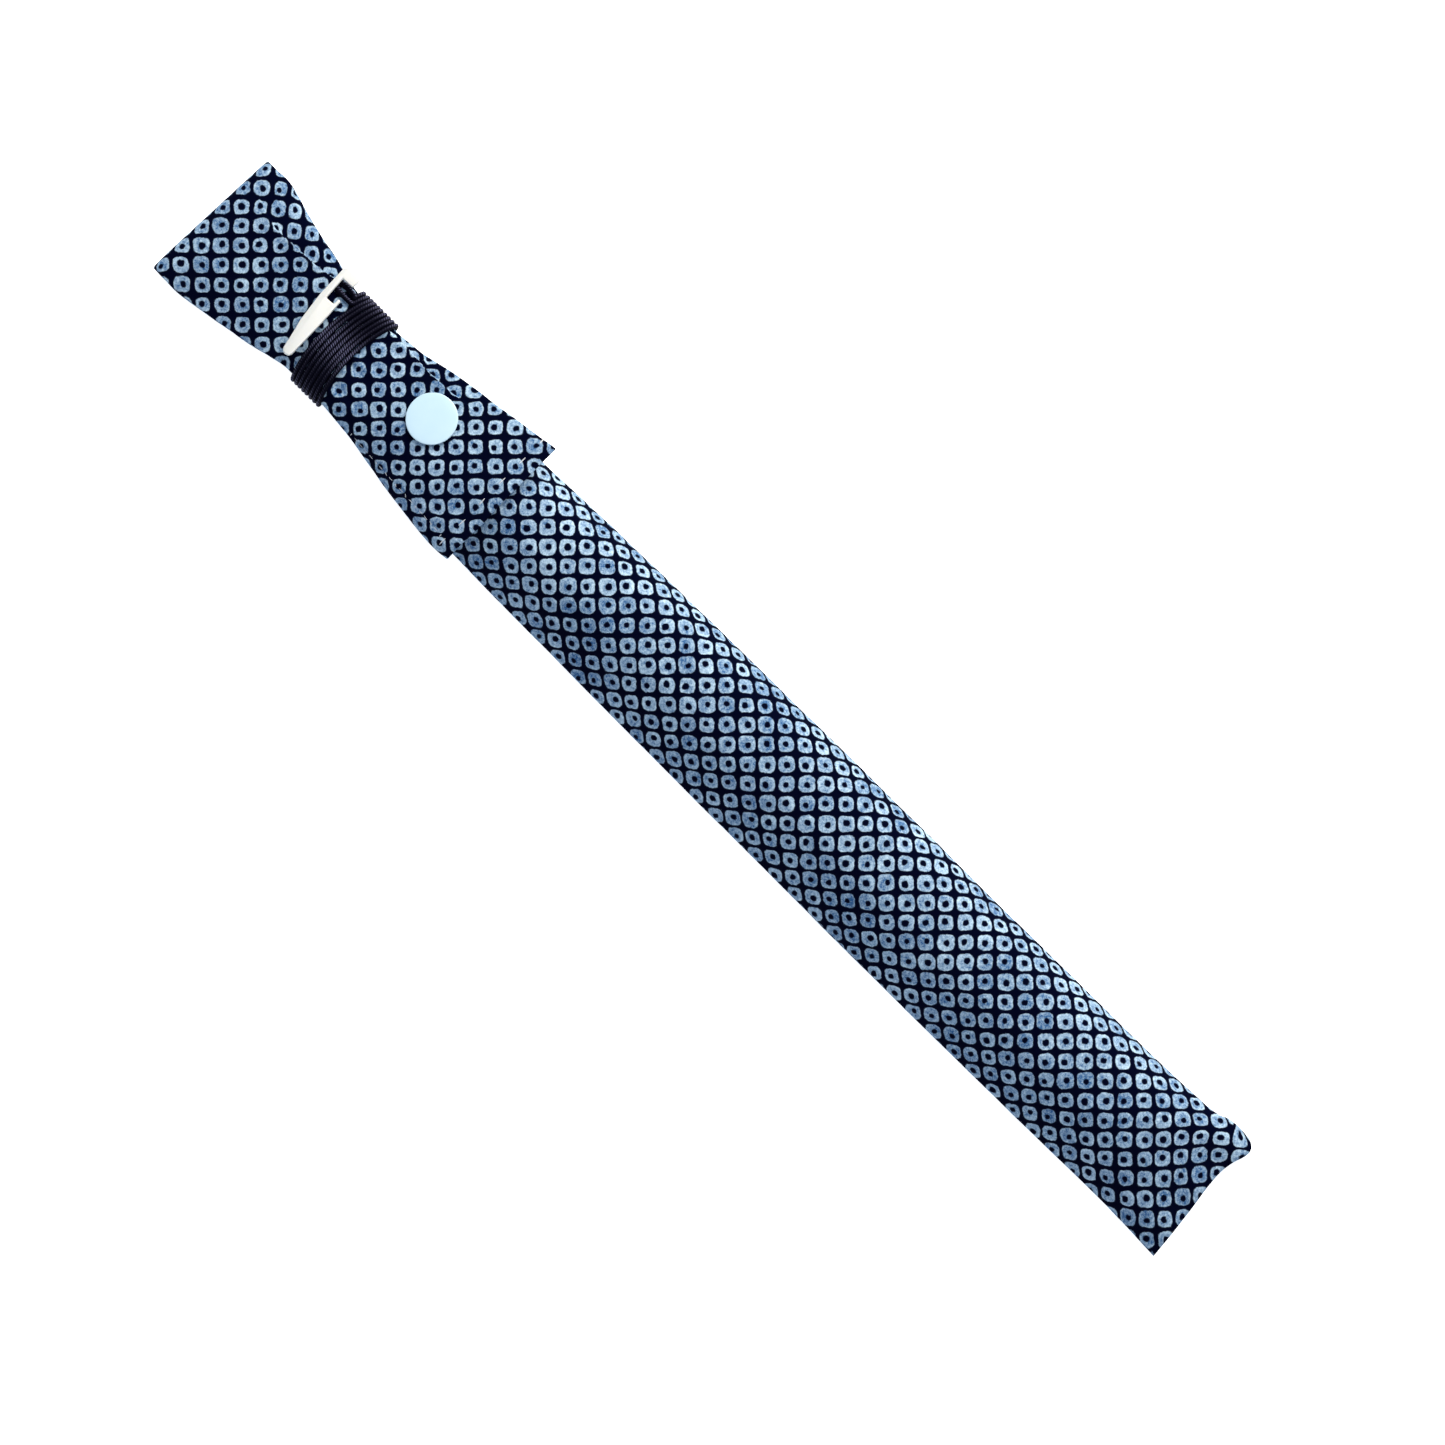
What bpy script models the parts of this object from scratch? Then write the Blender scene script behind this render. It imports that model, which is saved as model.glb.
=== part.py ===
# Slim cloth tube bag for a stick-like instrument, lying closed on a table.
#
# The bag is one long sewn tube of printed cotton with a plain lining.  Its mouth end is folded back
# over itself at the head, gathered at the neck and wound with a doubled braided cord.  The cord's
# bight runs under the arm of a slotted claw that lies across the neck.  The free mouth part, the
# tongue, lies on the crest of the body and carries a round badge.
#
# Frame: +X runs from the fold at the head to the sewn bottom end, +Y across the bag, +Z up.
# Lengths below are millimetres; x is measured from the fold.

import math

import bmesh
import bpy
from mathutils import Vector

# ---- driving dimensions ----

MM = 0.001
CASE_LENGTH = 500.0
CLOTH = 0.6            # wall of the printed outer cloth with its turnings
LINING = 0.45          # wall of the plain lining
GAP = 0.35             # clearance between pieces that touch
EDGE_EASE = 2.6        # a lining stands this much further in at the narrow side edges
RING_POINTS = 22       # corners of each cross-section
UNDERSIDE_FLAT = 1.03  # over 1: the underside is truly flat where it lies on the table

FOLD_START = 0.3       # first section of both runs, beside the fold
NECK_START = 57.5      # gathered neck begins
TONGUE_START = 76.0    # free mouth part begins, at the edge of the winding
BODY_START = 110.0     # full hollow of the body begins
MOUTH = 146.4          # hem edge of the mouth
BOTTOM = 499.6         # sewn bottom edge

# Outline of the lower run, seen from above: (x, y) of its left and right edges.
LOWER_LEFT = ((0, -27.4), (6, -28.4), (24, -26.2), (45, -22.4), (57, -19.9), (76, -19.8),
              (95, -21.6), (120, -24.0), (150, -25.2), (250, -26.3), (380, -26.6), (470, -25.7),
              (500, -26.6))
LOWER_RIGHT = ((0, 27.0), (6, 28.4), (24, 24.5), (45, 19.7), (57, 17.2), (76, 17.0), (95, 18.2),
               (120, 19.6), (150, 21.1), (250, 23.1), (380, 23.8), (463, 24.5), (480, 25.4),
               (492, 28.0), (500, 27.4))
# Side view of the lower run: (x, z) of its crest, its underside and its widest level.
LOWER_TOP = ((0, 4.2), (8, 5.6), (76, 5.6), (92, 8.0), (115, 12.4), (138, 16.6), (160, 18.0),
             (430, 18.0), (462, 16.5), (480, 12.0), (492, 6.6), (500, 3.0))
LOWER_BOTTOM = ((0, 0.5), (6, 0.0), (34, 0.0), (56, 2.3), (78, 2.3), (100, 0.0), (486, 0.0),
                (500, 0.5))
LOWER_WIDEST = ((0, 2.3), (34, 2.6), (56, 4.0), (78, 4.0), (112, 3.4), (460, 3.4), (500, 1.7))

# The upper run of the head and neck has the lower run's outline and these levels.
UPPER_TOP = ((0, 9.5), (6, 10.7), (20, 11.7), (56, 11.4), (76, 11.4))
UPPER_BOTTOM = ((0, 6.5), (6, 6.1), (76, 6.1))
UPPER_WIDEST = ((0, 7.95), (6, 7.7), (76, 7.7))

# The tongue spreads back to the cloth's full flat width and rides on the crest of the body.
TONGUE_LEFT = ((76, -19.9), (88, -21.2), (103, -23.8), (124, -27.0), (140, -28.4), (146.4, -27.8))
TONGUE_RIGHT = ((76, 16.9), (88, 18.3), (103, 21.2), (117, 23.1), (131, 25.2), (146.4, 27.5))
TONGUE_THICK = ((76, 5.3), (100, 4.4), (146.4, 3.6))
TONGUE_REST = 0.5      # clearance under the tongue
TONGUE_CAMBER = 1.4    # droop of its side edges

BODY_CREST_Y = -3.0    # the crest runs a little left of the middle
SEAM_ROOM = 3.6        # space left of the body lining for the lengthwise seam's turnings
HEM_WIDTH = 5.4        # width of the hem band turned into the mouth

CORD_RADIUS = 0.8
CORD_PITCH = 1.8       # ridge to ridge
CORD_TURNS = 4         # turns of the doubled cord, so twice as many ridges
WINDING_START = 61.7   # centre of the first ridge at the neck's sides
WINDING_BOW = 3.4      # over the top the ridges bow this far towards the fold
WINDING_LEFT = -21.1   # the cord's centre line round the neck
WINDING_RIGHT = 18.5
WINDING_TOP = 12.55
WINDING_BOTTOM = 1.15
WINDING_LEVEL = 6.2
WINDING_TOP_POWER = 3.0     # 2 is an ellipse, higher is boxier
WINDING_BOTTOM_POWER = 4.2
POINTS_PER_TURN = 18
TAIL_TURN = 0.2        # part of a turn that tucks each tail under the neck

BIGHT_Y = 14.9         # the claw tilts on the two strands of the bight
BIGHT_TOP = 12.3
CLAW_BOTTOM = 12.5
CLAW_THICK = 2.4
BADGE_RADIUS = 9.5
BADGE_THICK = 1.0
BADGE_CENTRE = (107.6, 3.9)


# ---- small helpers ----

def clear_scene():
    for old in list(bpy.data.objects):
        bpy.data.objects.remove(old, do_unlink=True)


def profile(points, x):
    """Value at x of a smooth curve through points that never overshoots them."""
    if x <= points[0][0]:
        return points[0][1]
    if x >= points[-1][0]:
        return points[-1][1]
    slopes = [(b[1] - a[1]) / (b[0] - a[0]) for a, b in zip(points, points[1:])]

    def tangent(i):
        if i == 0:
            return slopes[0]
        if i == len(points) - 1:
            return slopes[-1]
        before, after = slopes[i - 1], slopes[i]
        if before * after <= 0:
            return 0.0
        return 2 * before * after / (before + after)

    i = max(k for k in range(len(points) - 1) if points[k][0] <= x)
    step = points[i + 1][0] - points[i][0]
    t = (x - points[i][0]) / step
    return ((2 * t ** 3 - 3 * t ** 2 + 1) * points[i][1]
            + (t ** 3 - 2 * t ** 2 + t) * step * tangent(i)
            + (3 * t ** 2 - 2 * t ** 3) * points[i + 1][1]
            + (t ** 3 - t ** 2) * step * tangent(i + 1))


def to_frame(x, y, z):
    """Millimetres from the fold to metres about the middle of the case."""
    return Vector(((x - CASE_LENGTH / 2) * MM, y * MM, z * MM))


def oval(section, count=RING_POINTS):
    """Points (y, z) round a cross-section, from its right edge over the top."""
    left, right, crest, bottom, level, top = section["sides"]
    points = []
    for k in range(count):
        angle = 2 * math.pi * k / count
        c, s = math.cos(angle), math.sin(angle)
        half = right - crest if c > 0 else crest - left
        if s < 0:
            power = section["bottom_power"]
            y_power, z_power = power, power
        else:
            y_power = section["right_power"] if c > 0 else section["left_power"]
            z_power = 2.0 if c > 0 else section.get("left_rise", 2.0)
        y = crest + half * math.copysign(abs(c) ** (2 / y_power), c)
        reach = abs(s) ** (2 / z_power)
        if s < 0:
            z = level - (level - bottom) * min(1.0, UNDERSIDE_FLAT * reach)
        else:
            z = level + (top - level) * reach
        u = (y - crest) / half
        points.append((y, z - section["camber"] * u * u))
    return points


def stations(first, last, step):
    """Evenly spaced x values from first to last, no further apart than step."""
    count = max(1, math.ceil(abs(last - first) / step))
    return [first + (last - first) * i / count for i in range(count + 1)]


def make_material(name, colour, roughness, metallic=0.0):
    material = bpy.data.materials.new(name)
    material.use_nodes = True
    shader = material.node_tree.nodes["Principled BSDF"]
    shader.inputs["Base Color"].default_value = (*colour, 1.0)
    shader.inputs["Roughness"].default_value = roughness
    shader.inputs["Metallic"].default_value = metallic
    material.diffuse_color = (*colour, 1.0)
    return material


def link(name, mesh_or_curve, material):
    piece = bpy.data.objects.new(name, mesh_or_curve)
    bpy.data.collections["slim_cloth_case"].objects.link(piece)
    mesh_or_curve.materials.append(material)
    return piece


def hang_on(piece, parent):
    """Parent a piece that is placed in the world and keep it where it is."""
    piece.parent = parent
    piece.matrix_parent_inverse = parent.matrix_world.inverted()


def loft(name, xs, ring_at, material, wall=None, closed_start=False, closed_end=False):
    """A skin through one ring per x; with a wall it becomes a tube of cloth."""
    form = bmesh.new()
    rings = []
    for x in xs:
        rings.append([form.verts.new(to_frame(x, y, z)) for y, z in ring_at(x)])
    size = len(rings[0])
    for near, far in zip(rings, rings[1:]):
        for k in range(size):
            following = (k + 1) % size
            form.faces.new((near[k], near[following], far[following], far[k]))
    if closed_start:
        form.faces.new(list(reversed(rings[0])))
    if closed_end:
        form.faces.new(rings[-1])
    mesh = bpy.data.meshes.new(name)
    form.to_mesh(mesh)
    form.free()
    mesh.shade_smooth()
    piece = link(name, mesh, material)
    if wall:
        skin = piece.modifiers.new("wall", "SOLIDIFY")
        skin.thickness = wall * MM
        skin.offset = -1.0
        skin.use_even_offset = True
    return piece


def sleeve(name, xs, outer_at, inner_at, material):
    """A tube between two skins, open at both ends; it stays whole where it lies nearly flat."""
    form = bmesh.new()
    loops = [[form.verts.new(to_frame(x, y, z)) for y, z in outer_at(x)] for x in xs]
    loops += [[form.verts.new(to_frame(x, y, z)) for y, z in inner_at(x)] for x in reversed(xs)]
    for near, far in zip(loops, loops[1:] + loops[:1]):
        for k in range(len(near)):
            following = (k + 1) % len(near)
            form.faces.new((near[k], near[following], far[following], far[k]))
    mesh = bpy.data.meshes.new(name)
    form.to_mesh(mesh)
    form.free()
    mesh.shade_smooth()
    return link(name, mesh, material)


# ---- cross-sections ----

def lower_section(x, inset, seam_room=0.0):
    """Section of the lower run, from the fold to the sewn bottom end."""
    swell = profile(((76, 0.0), (150, 1.0)), x)
    left = profile(LOWER_LEFT, x) + EDGE_EASE * inset + seam_room
    right = profile(LOWER_RIGHT, x) - EDGE_EASE * inset
    middle = (left + right) / 2
    crest = middle + swell * (BODY_CREST_Y - middle)
    gather = profile(((34, 0.0), (56, 1.0), (80, 1.0), (110, 0.0)), x)
    return {"sides": (left, right, crest, profile(LOWER_BOTTOM, x) + inset,
                      profile(LOWER_WIDEST, x), profile(LOWER_TOP, x) - inset),
            "left_power": 6.0 - 4.7 * swell, "right_power": 6.0 - 3.8 * swell,
            "left_rise": 2.0 - 1.0 * swell, "bottom_power": 4.6 - 2.0 * gather, "camber": 0.0}


def upper_section(x, inset):
    """Section of the upper run over the head and the neck."""
    left = profile(LOWER_LEFT, x) + EDGE_EASE * inset
    right = profile(LOWER_RIGHT, x) - EDGE_EASE * inset
    return {"sides": (left, right, (left + right) / 2, profile(UPPER_BOTTOM, x) + inset,
                      profile(UPPER_WIDEST, x), profile(UPPER_TOP, x) - inset),
            "left_power": 2.6, "right_power": 2.6, "bottom_power": 6.0, "camber": 0.0}


def tongue_bottom(x):
    return profile(LOWER_TOP, x) + TONGUE_REST


def tongue_section(x, inset):
    """Section of the mouth part, a flat tube that rides on the body's crest."""
    left = profile(TONGUE_LEFT, x) + EDGE_EASE * inset
    right = profile(TONGUE_RIGHT, x) - EDGE_EASE * inset
    bottom = tongue_bottom(x)
    thick = profile(TONGUE_THICK, x)
    open_out = profile(((76, 0.0), (100, 1.0)), x)
    return {"sides": (left, right, (left + right) / 2, bottom + inset,
                      bottom + thick * (0.36 + 0.08 * open_out), bottom + thick - inset),
            "left_power": 2.6 + 2.4 * open_out, "right_power": 2.6 + 2.4 * open_out,
            "bottom_power": 6.0, "camber": TONGUE_CAMBER * open_out}


# ---- sub-parts ----

def make_tube_pair(shell_name, lining_name, section, first, last, step, materials):
    """Outer cloth and lining of one open stretch of the bag."""
    xs = stations(first, last, step)
    shell = loft(shell_name, xs, lambda x: oval(section(x, 0.0)), materials["print"], CLOTH)
    lining = sleeve(lining_name, xs, lambda x: oval(section(x, CLOTH + GAP)),
                    lambda x: oval(section(x, CLOTH + GAP + LINING)), materials["lining"])
    return [shell, lining]


def make_body(materials):
    """The body of the bag: sewn shut at the bottom, open towards the neck."""
    xs = stations(BODY_START, 460.0, 25.0) + stations(466.0, BOTTOM, 6.0)
    shell = loft("body_shell", xs, lambda x: oval(lower_section(x, 0.0)),
                 materials["print"], CLOTH, closed_end=True)
    lining_xs = stations(BODY_START, 455.0, 25.0) + stations(462.0, 486.0, 6.0)
    lining = loft("body_lining", lining_xs,
                  lambda x: oval(lower_section(x, CLOTH + GAP, SEAM_ROOM)),
                  materials["lining"], LINING, closed_end=True)
    return [shell, lining]


def strip_ring(left, right, low, high):
    return [(right, low), (right, high), (left, high), (left, low)]


def make_seam_allowances(materials):
    """Turned-in raw edges: one strip along the side seam, one across the bottom seam."""
    side = loft("side_seam_allowance", stations(BODY_START + 2, 478.0, 23.0),
                lambda x: strip_ring(profile(LOWER_LEFT, x) + 2.1, profile(LOWER_LEFT, x) + 5.3,
                                     1.7, 2.5),
                materials["print"], closed_start=True, closed_end=True)
    bottom = loft("bottom_seam_allowance", stations(488.0, 495.5, 4.0),
                  lambda x: strip_ring(-22.0, 22.0, 1.4, 2.2),
                  materials["print"], closed_start=True, closed_end=True)
    return [side, bottom]


def make_tongue(materials):
    shell = loft("tongue_shell", stations(TONGUE_START, MOUTH, 6.0),
                 lambda x: oval(tongue_section(x, 0.0)), materials["print"], CLOTH)
    hem_start = MOUTH - HEM_WIDTH
    lining = loft("tongue_lining", stations(TONGUE_START, hem_start - GAP, 6.0),
                  lambda x: oval(tongue_section(x, CLOTH + GAP)), materials["lining"], LINING)
    facing = loft("mouth_hem_facing", stations(hem_start, MOUTH, 3.0),
                  lambda x: oval(tongue_section(x, CLOTH + GAP)), materials["print"], LINING)
    return [shell, lining, facing]


def winding_point(angle):
    """Centre line (y, z) of the cord round the neck; angle 0 is the right edge, pi/2 the top."""
    middle = (WINDING_LEFT + WINDING_RIGHT) / 2
    half = (WINDING_RIGHT - WINDING_LEFT) / 2
    c, s = math.cos(angle), math.sin(angle)
    power = WINDING_TOP_POWER if s > 0 else WINDING_BOTTOM_POWER
    y = middle + half * math.copysign(abs(c) ** (2 / power), c)
    height = WINDING_TOP - WINDING_LEVEL if s > 0 else WINDING_LEVEL - WINDING_BOTTOM
    z = WINDING_LEVEL + height * math.copysign(abs(s) ** (2 / power), s)
    return y, z


def strand(first_ridge):
    """One of the two parallel strands: down the right side, under the neck and up the left,
    then across the top as a bowed ridge; it steps along X only under the neck."""
    points = []
    steps = math.ceil((CORD_TURNS + TAIL_TURN) * POINTS_PER_TURN)
    start = math.radians(24)
    finish = -(CORD_TURNS + TAIL_TURN) * 2 * math.pi
    for i in range(steps + 1):
        angle = start + (finish - start) * i / steps
        turned = -angle / (2 * math.pi)
        whole = math.floor(turned)
        under = min(max((turned - whole) / 0.5, 0.0), 1.0)
        ease = under * under * (3 - 2 * under)
        y, z = winding_point(angle)
        across = (2 * y - WINDING_LEFT - WINDING_RIGHT) / (WINDING_RIGHT - WINDING_LEFT)
        bow = WINDING_BOW * (1 - across * across) if z > WINDING_LEVEL else 0.0
        x = WINDING_START + CORD_PITCH * (first_ridge + 2 * (whole + ease - 1)) - bow
        points.append((x, y, z))
    return points


def cord_route():
    """The whole closing cord: one strand, the bight under the claw's arm, the other strand."""
    bight = [(57.0, 17.0, 10.2), (54.6, 16.5, 11.0), (51.6, 16.4, 11.2), (49.6, 16.0, 11.2),
             (48.6, 14.9, 11.3), (49.6, 13.8, 11.4), (51.6, 13.5, 11.4), (54.6, 14.0, 11.4),
             (57.2, 15.0, 11.2), (58.8, 16.2, 10.6)]
    return list(reversed(strand(0))) + bight + strand(1)


def make_cord(materials):
    route = cord_route()
    curve = bpy.data.curves.new("closing_cord", "CURVE")
    curve.dimensions = "3D"
    curve.bevel_depth = CORD_RADIUS * MM
    curve.bevel_resolution = 2
    curve.use_fill_caps = True
    spline = curve.splines.new("POLY")
    spline.points.add(len(route) - 1)
    for point, place in zip(spline.points, route):
        point.co = (*to_frame(*place), 1.0)
    return link("closing_cord", curve, materials["cord"])


def arc(centre, radius, first, last, count):
    """Points round a circle, angles in degrees from +X towards +Y."""
    turn = [math.radians(first + (last - first) * i / count) for i in range(count + 1)]
    return [(centre[0] + radius * math.cos(a), centre[1] + radius * math.sin(a)) for a in turn]


def claw_outline():
    """Flat outline of the claw: tapered blade, L-shaped slot open towards the winding."""
    tip = arc((53.8, -14.6), 2.05, 188, 352, 10)
    blade = [(55.7, -8.0), (55.5, 0.0), (55.3, 5.0), (54.9, 10.7), (53.7, 10.7)]
    slot = [(53.7, 8.2), (50.3, 8.0), (49.8, 16.9), (54.5, 17.1)]
    end = arc((53.2, 19.8), 1.5, 0, 90, 5) + arc((48.8, 19.8), 1.5, 90, 180, 5)
    back = [(47.7, 7.4), (49.2, -4.0), (50.6, -9.5)]
    return tip + blade + slot + end + back


def make_claw(materials):
    curve = bpy.data.curves.new("claw_outline", "CURVE")
    curve.dimensions = "2D"
    curve.fill_mode = "BOTH"
    curve.extrude = CLAW_THICK / 2 * MM
    outline = claw_outline()
    spline = curve.splines.new("POLY")
    spline.points.add(len(outline) - 1)
    for point, (x, y) in zip(spline.points, outline):
        place = to_frame(x, y, 0.0)
        point.co = (place.x, place.y, 0.0, 1.0)
    spline.use_cyclic_u = True
    claw = link("claw", curve, materials["claw"])
    claw.location = (0.0, 0.0, (CLAW_BOTTOM + CLAW_THICK / 2) * MM)
    return claw


def make_badge(materials):
    """A round badge that lies on the sloping top of the tongue."""
    x, y = BADGE_CENTRE
    run = 8.0
    rise = tongue_top(x + run) - tongue_top(x - run)
    slope = math.atan2(rise, 2 * run)
    form = bmesh.new()
    bmesh.ops.create_cone(form, cap_ends=True, segments=48, radius1=BADGE_RADIUS * MM,
                          radius2=BADGE_RADIUS * MM, depth=BADGE_THICK * MM)
    mesh = bpy.data.meshes.new("disc_badge")
    form.to_mesh(mesh)
    form.free()
    badge = link("disc_badge", mesh, materials["badge"])
    lift = GAP + 0.25 + BADGE_THICK / 2
    badge.location = to_frame(x, y, tongue_top(x) + lift / math.cos(slope))
    badge.rotation_euler = (0.0, -slope, 0.0)
    return badge


def tongue_top(x):
    return tongue_bottom(x) + profile(TONGUE_THICK, x)


# ---- assembly ----

def make_pivot(name, place, parent=None):
    pivot = bpy.data.objects.new(name, None)
    bpy.data.collections["slim_cloth_case"].objects.link(pivot)
    pivot.location = place
    bpy.context.view_layer.update()
    if parent:
        hang_on(pivot, parent)
    return pivot


def build_case():
    clear_scene()
    collection = bpy.data.collections.new("slim_cloth_case")
    bpy.context.scene.collection.children.link(collection)
    materials = {
        "print": make_material("printed_cotton", (0.075, 0.125, 0.21), 0.85),
        "lining": make_material("plain_navy_cotton", (0.012, 0.018, 0.045), 0.9),
        "cord": make_material("braided_navy_cord", (0.012, 0.012, 0.035), 0.6),
        "claw": make_material("ivory_claw", (0.9, 0.9, 0.84), 0.35),
        "badge": make_material("pale_blue_badge", (0.62, 0.85, 0.98), 0.35),
    }
    fold_pivot = make_pivot("mouth_fold_axis", to_frame(0.0, 0.0, 5.85))
    tongue_pivot = make_pivot("tongue_lift_axis", to_frame(75.8, 0.0, 11.6), fold_pivot)
    claw_pivot = make_pivot("claw_swing_axis", to_frame(51.0, BIGHT_Y, BIGHT_TOP), fold_pivot)

    make_body(materials)
    make_seam_allowances(materials)
    make_tube_pair("neck_lower_shell", "neck_lower_lining", lower_section,
                   NECK_START + GAP, BODY_START - GAP, 6.5, materials)
    make_tube_pair("head_lower_shell", "head_lower_lining", lower_section,
                   FOLD_START, NECK_START, 9.0, materials)
    flap = make_tube_pair("head_upper_shell", "head_upper_lining", upper_section,
                          FOLD_START, NECK_START, 9.0, materials)
    flap += make_tube_pair("neck_upper_shell", "neck_upper_lining", upper_section,
                           NECK_START + GAP, TONGUE_START - 0.5, 9.0, materials)
    flap.append(make_cord(materials))
    tongue = make_tongue(materials)
    tongue.append(make_badge(materials))
    claw = make_claw(materials)

    bpy.context.view_layer.update()
    for piece in flap:
        hang_on(piece, fold_pivot)
    for piece in tongue:
        hang_on(piece, tongue_pivot)
    hang_on(claw, claw_pivot)


build_case()
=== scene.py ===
import math

import bmesh
import bpy
import numpy as np
from mathutils import Matrix, Vector


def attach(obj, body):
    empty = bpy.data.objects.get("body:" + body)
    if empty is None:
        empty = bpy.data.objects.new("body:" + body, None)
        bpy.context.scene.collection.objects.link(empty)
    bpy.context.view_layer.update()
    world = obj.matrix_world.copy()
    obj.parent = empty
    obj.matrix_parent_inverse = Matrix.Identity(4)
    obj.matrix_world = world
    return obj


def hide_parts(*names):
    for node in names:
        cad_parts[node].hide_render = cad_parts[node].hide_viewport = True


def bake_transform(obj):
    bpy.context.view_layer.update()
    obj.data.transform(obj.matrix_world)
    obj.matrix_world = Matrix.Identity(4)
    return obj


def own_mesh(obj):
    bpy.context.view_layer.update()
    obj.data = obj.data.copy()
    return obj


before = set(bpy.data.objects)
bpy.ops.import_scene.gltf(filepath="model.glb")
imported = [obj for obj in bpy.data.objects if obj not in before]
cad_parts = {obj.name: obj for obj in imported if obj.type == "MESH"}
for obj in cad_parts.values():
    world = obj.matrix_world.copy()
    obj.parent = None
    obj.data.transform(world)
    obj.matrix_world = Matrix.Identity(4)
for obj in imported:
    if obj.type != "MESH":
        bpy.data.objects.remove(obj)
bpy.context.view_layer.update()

mm = 0.001
foldX = -0.25  # x of the fold line; every "along" below counts from it

scene = bpy.context.scene
scene.view_settings.view_transform = "Standard"
caseCollection = bpy.data.collections.new("slimClothCase")
scene.collection.children.link(caseCollection)


# camera straight above, case running from upper left to lower right
cameraSetup = {
    "turn": 44.83,         # degrees between the case and the picture's bottom edge
    "pictureWidth": 0.5159,
    "distance": 2.4,
    "focusHeight": 0.014,
    "sideShift": 0.00543,
    "upShift": -0.00515,
}


def makeCamera(setup):
    turn = math.radians(setup["turn"])
    right = Vector((math.cos(turn), math.sin(turn), 0))
    up = Vector((-math.sin(turn), math.cos(turn), 0))
    data = bpy.data.cameras.new("camera")
    data.sensor_width = 36
    data.lens = 36 * setup["distance"] / setup["pictureWidth"]
    data.clip_end = 20
    camera = bpy.data.objects.new("camera", data)
    scene.collection.objects.link(camera)
    place = right * setup["sideShift"] + up * setup["upShift"]
    place.z = setup["focusHeight"] + setup["distance"]
    camera.matrix_world = Matrix.Translation(place) @ Matrix.Rotation(turn, 4, "Z")
    scene.camera = camera
    return right, up


pictureRight, pictureUp = makeCamera(cameraSetup)
print("camera made")


def softStep(x):
    x = np.clip(x, 0, 1)
    return x * x * (3 - 2 * x)


def between(start, end, share):
    return start + (end - start) * share


def cloudNoise(u, v, size, seed):  # smooth value noise, -1 to 1, over cloth coordinates
    grid = np.random.default_rng(seed).uniform(-1, 1, (97, 97))
    x, y = u / size + 400.0, v / size + 400.0
    i, j = np.floor(x).astype(int), np.floor(y).astype(int)
    fx, fy = softStep(x - i), softStep(y - j)
    a, b = grid[i % 97, j % 97], grid[(i + 1) % 97, j % 97]
    c, d = grid[i % 97, (j + 1) % 97], grid[(i + 1) % 97, (j + 1) % 97]
    return (a * (1 - fx) + b * fx) * (1 - fy) + (c * (1 - fx) + d * fx) * fy


def hump(x, low, high, ease):  # 1 between low and high, easing to 0 outside
    return softStep((x - low) / ease + 1) * softStep((high - x) / ease + 1)


def smoothThrough(x, knots, values):  # a smooth curve through unevenly spaced values
    slopes = np.gradient(values, knots)
    i = np.clip(np.searchsorted(knots, x) - 1, 0, len(knots) - 2)
    width = knots[i + 1] - knots[i]
    t = np.clip((x - knots[i]) / width, 0, 1)
    return ((2 * t ** 3 - 3 * t ** 2 + 1) * values[i] + (t ** 3 - 2 * t ** 2 + t) * width * slopes[i]
            + (3 * t ** 2 - 2 * t ** 3) * values[i + 1] + (t ** 3 - t ** 2) * width * slopes[i + 1])


def readOutline(nodes):  # edges and heights of a run of cloth, read from the frame's rings
    rows = {}
    for node in nodes:
        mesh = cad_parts[node].data
        points = np.empty(len(mesh.vertices) * 3)
        mesh.vertices.foreach_get("co", points)
        for x, y, z in points.reshape(-1, 3):
            rows.setdefault(round(x * 4000), []).append((y, z))
    found = []
    for key in sorted(rows):
        ring = np.array(rows[key])
        if len(ring) < 12:
            continue
        widest = ring[np.argmax(ring[:, 0])]
        found.append((key / 4000, ring[:, 0].min(), ring[:, 0].max(), ring[:, 1].min(),
                      widest[1], ring[:, 1].max()))
    found = np.array(found)
    width = found[:, 2] - found[:, 1]
    # the inner skin has rings of its own beside the outer ones, and they are left out
    outer = [width[i] > width[np.abs(found[:, 0] - found[i, 0]) < 1.4 * mm].max() - 0.7 * mm
             for i in range(len(found))]
    found = found[outer]
    xs = np.arange(found[0, 0], found[-1, 0] + 0.2 * mm, 0.5 * mm)
    return xs, [smoothThrough(xs, found[:, 0], found[:, k]) for k in range(1, 6)]


def outlineAt(outline, x):
    xs, columns = outline
    return [float(np.interp(x, xs, column)) for column in columns]


ovalPoints = 160  # points of half a section, from edge to edge


def halfOval(left, right, crest, level, high, sidePowers, rises):
    # from the left edge over a crest to the right edge
    angle = np.linspace(math.pi, 0, ovalPoints)
    c, s = np.cos(angle), np.sin(angle)
    half = np.where(c > 0, right - crest, crest - left)
    power = np.where(c > 0, sidePowers[1], sidePowers[0])
    y = crest + half * np.sign(c) * np.abs(c) ** (2 / power)
    rise = np.where(c > 0, rises[1], rises[0])
    z = level + (high - level) * np.abs(s) ** (2 / rise)
    return np.stack([y, z], 1)


def arcAlong(line):  # the distance along a line at each of its points
    return np.concatenate([[0], np.cumsum(np.linalg.norm(np.diff(line, axis=0), axis=1))])


def spread(line, count):  # a closed line as count evenly spaced points, and the arc at each
    arc = arcAlong(line)
    at = np.linspace(0, arc[-1], count, endpoint=False)
    return np.stack([np.interp(at, arc, line[:, k]) for k in range(2)], 1), at, arc[-1]


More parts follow.
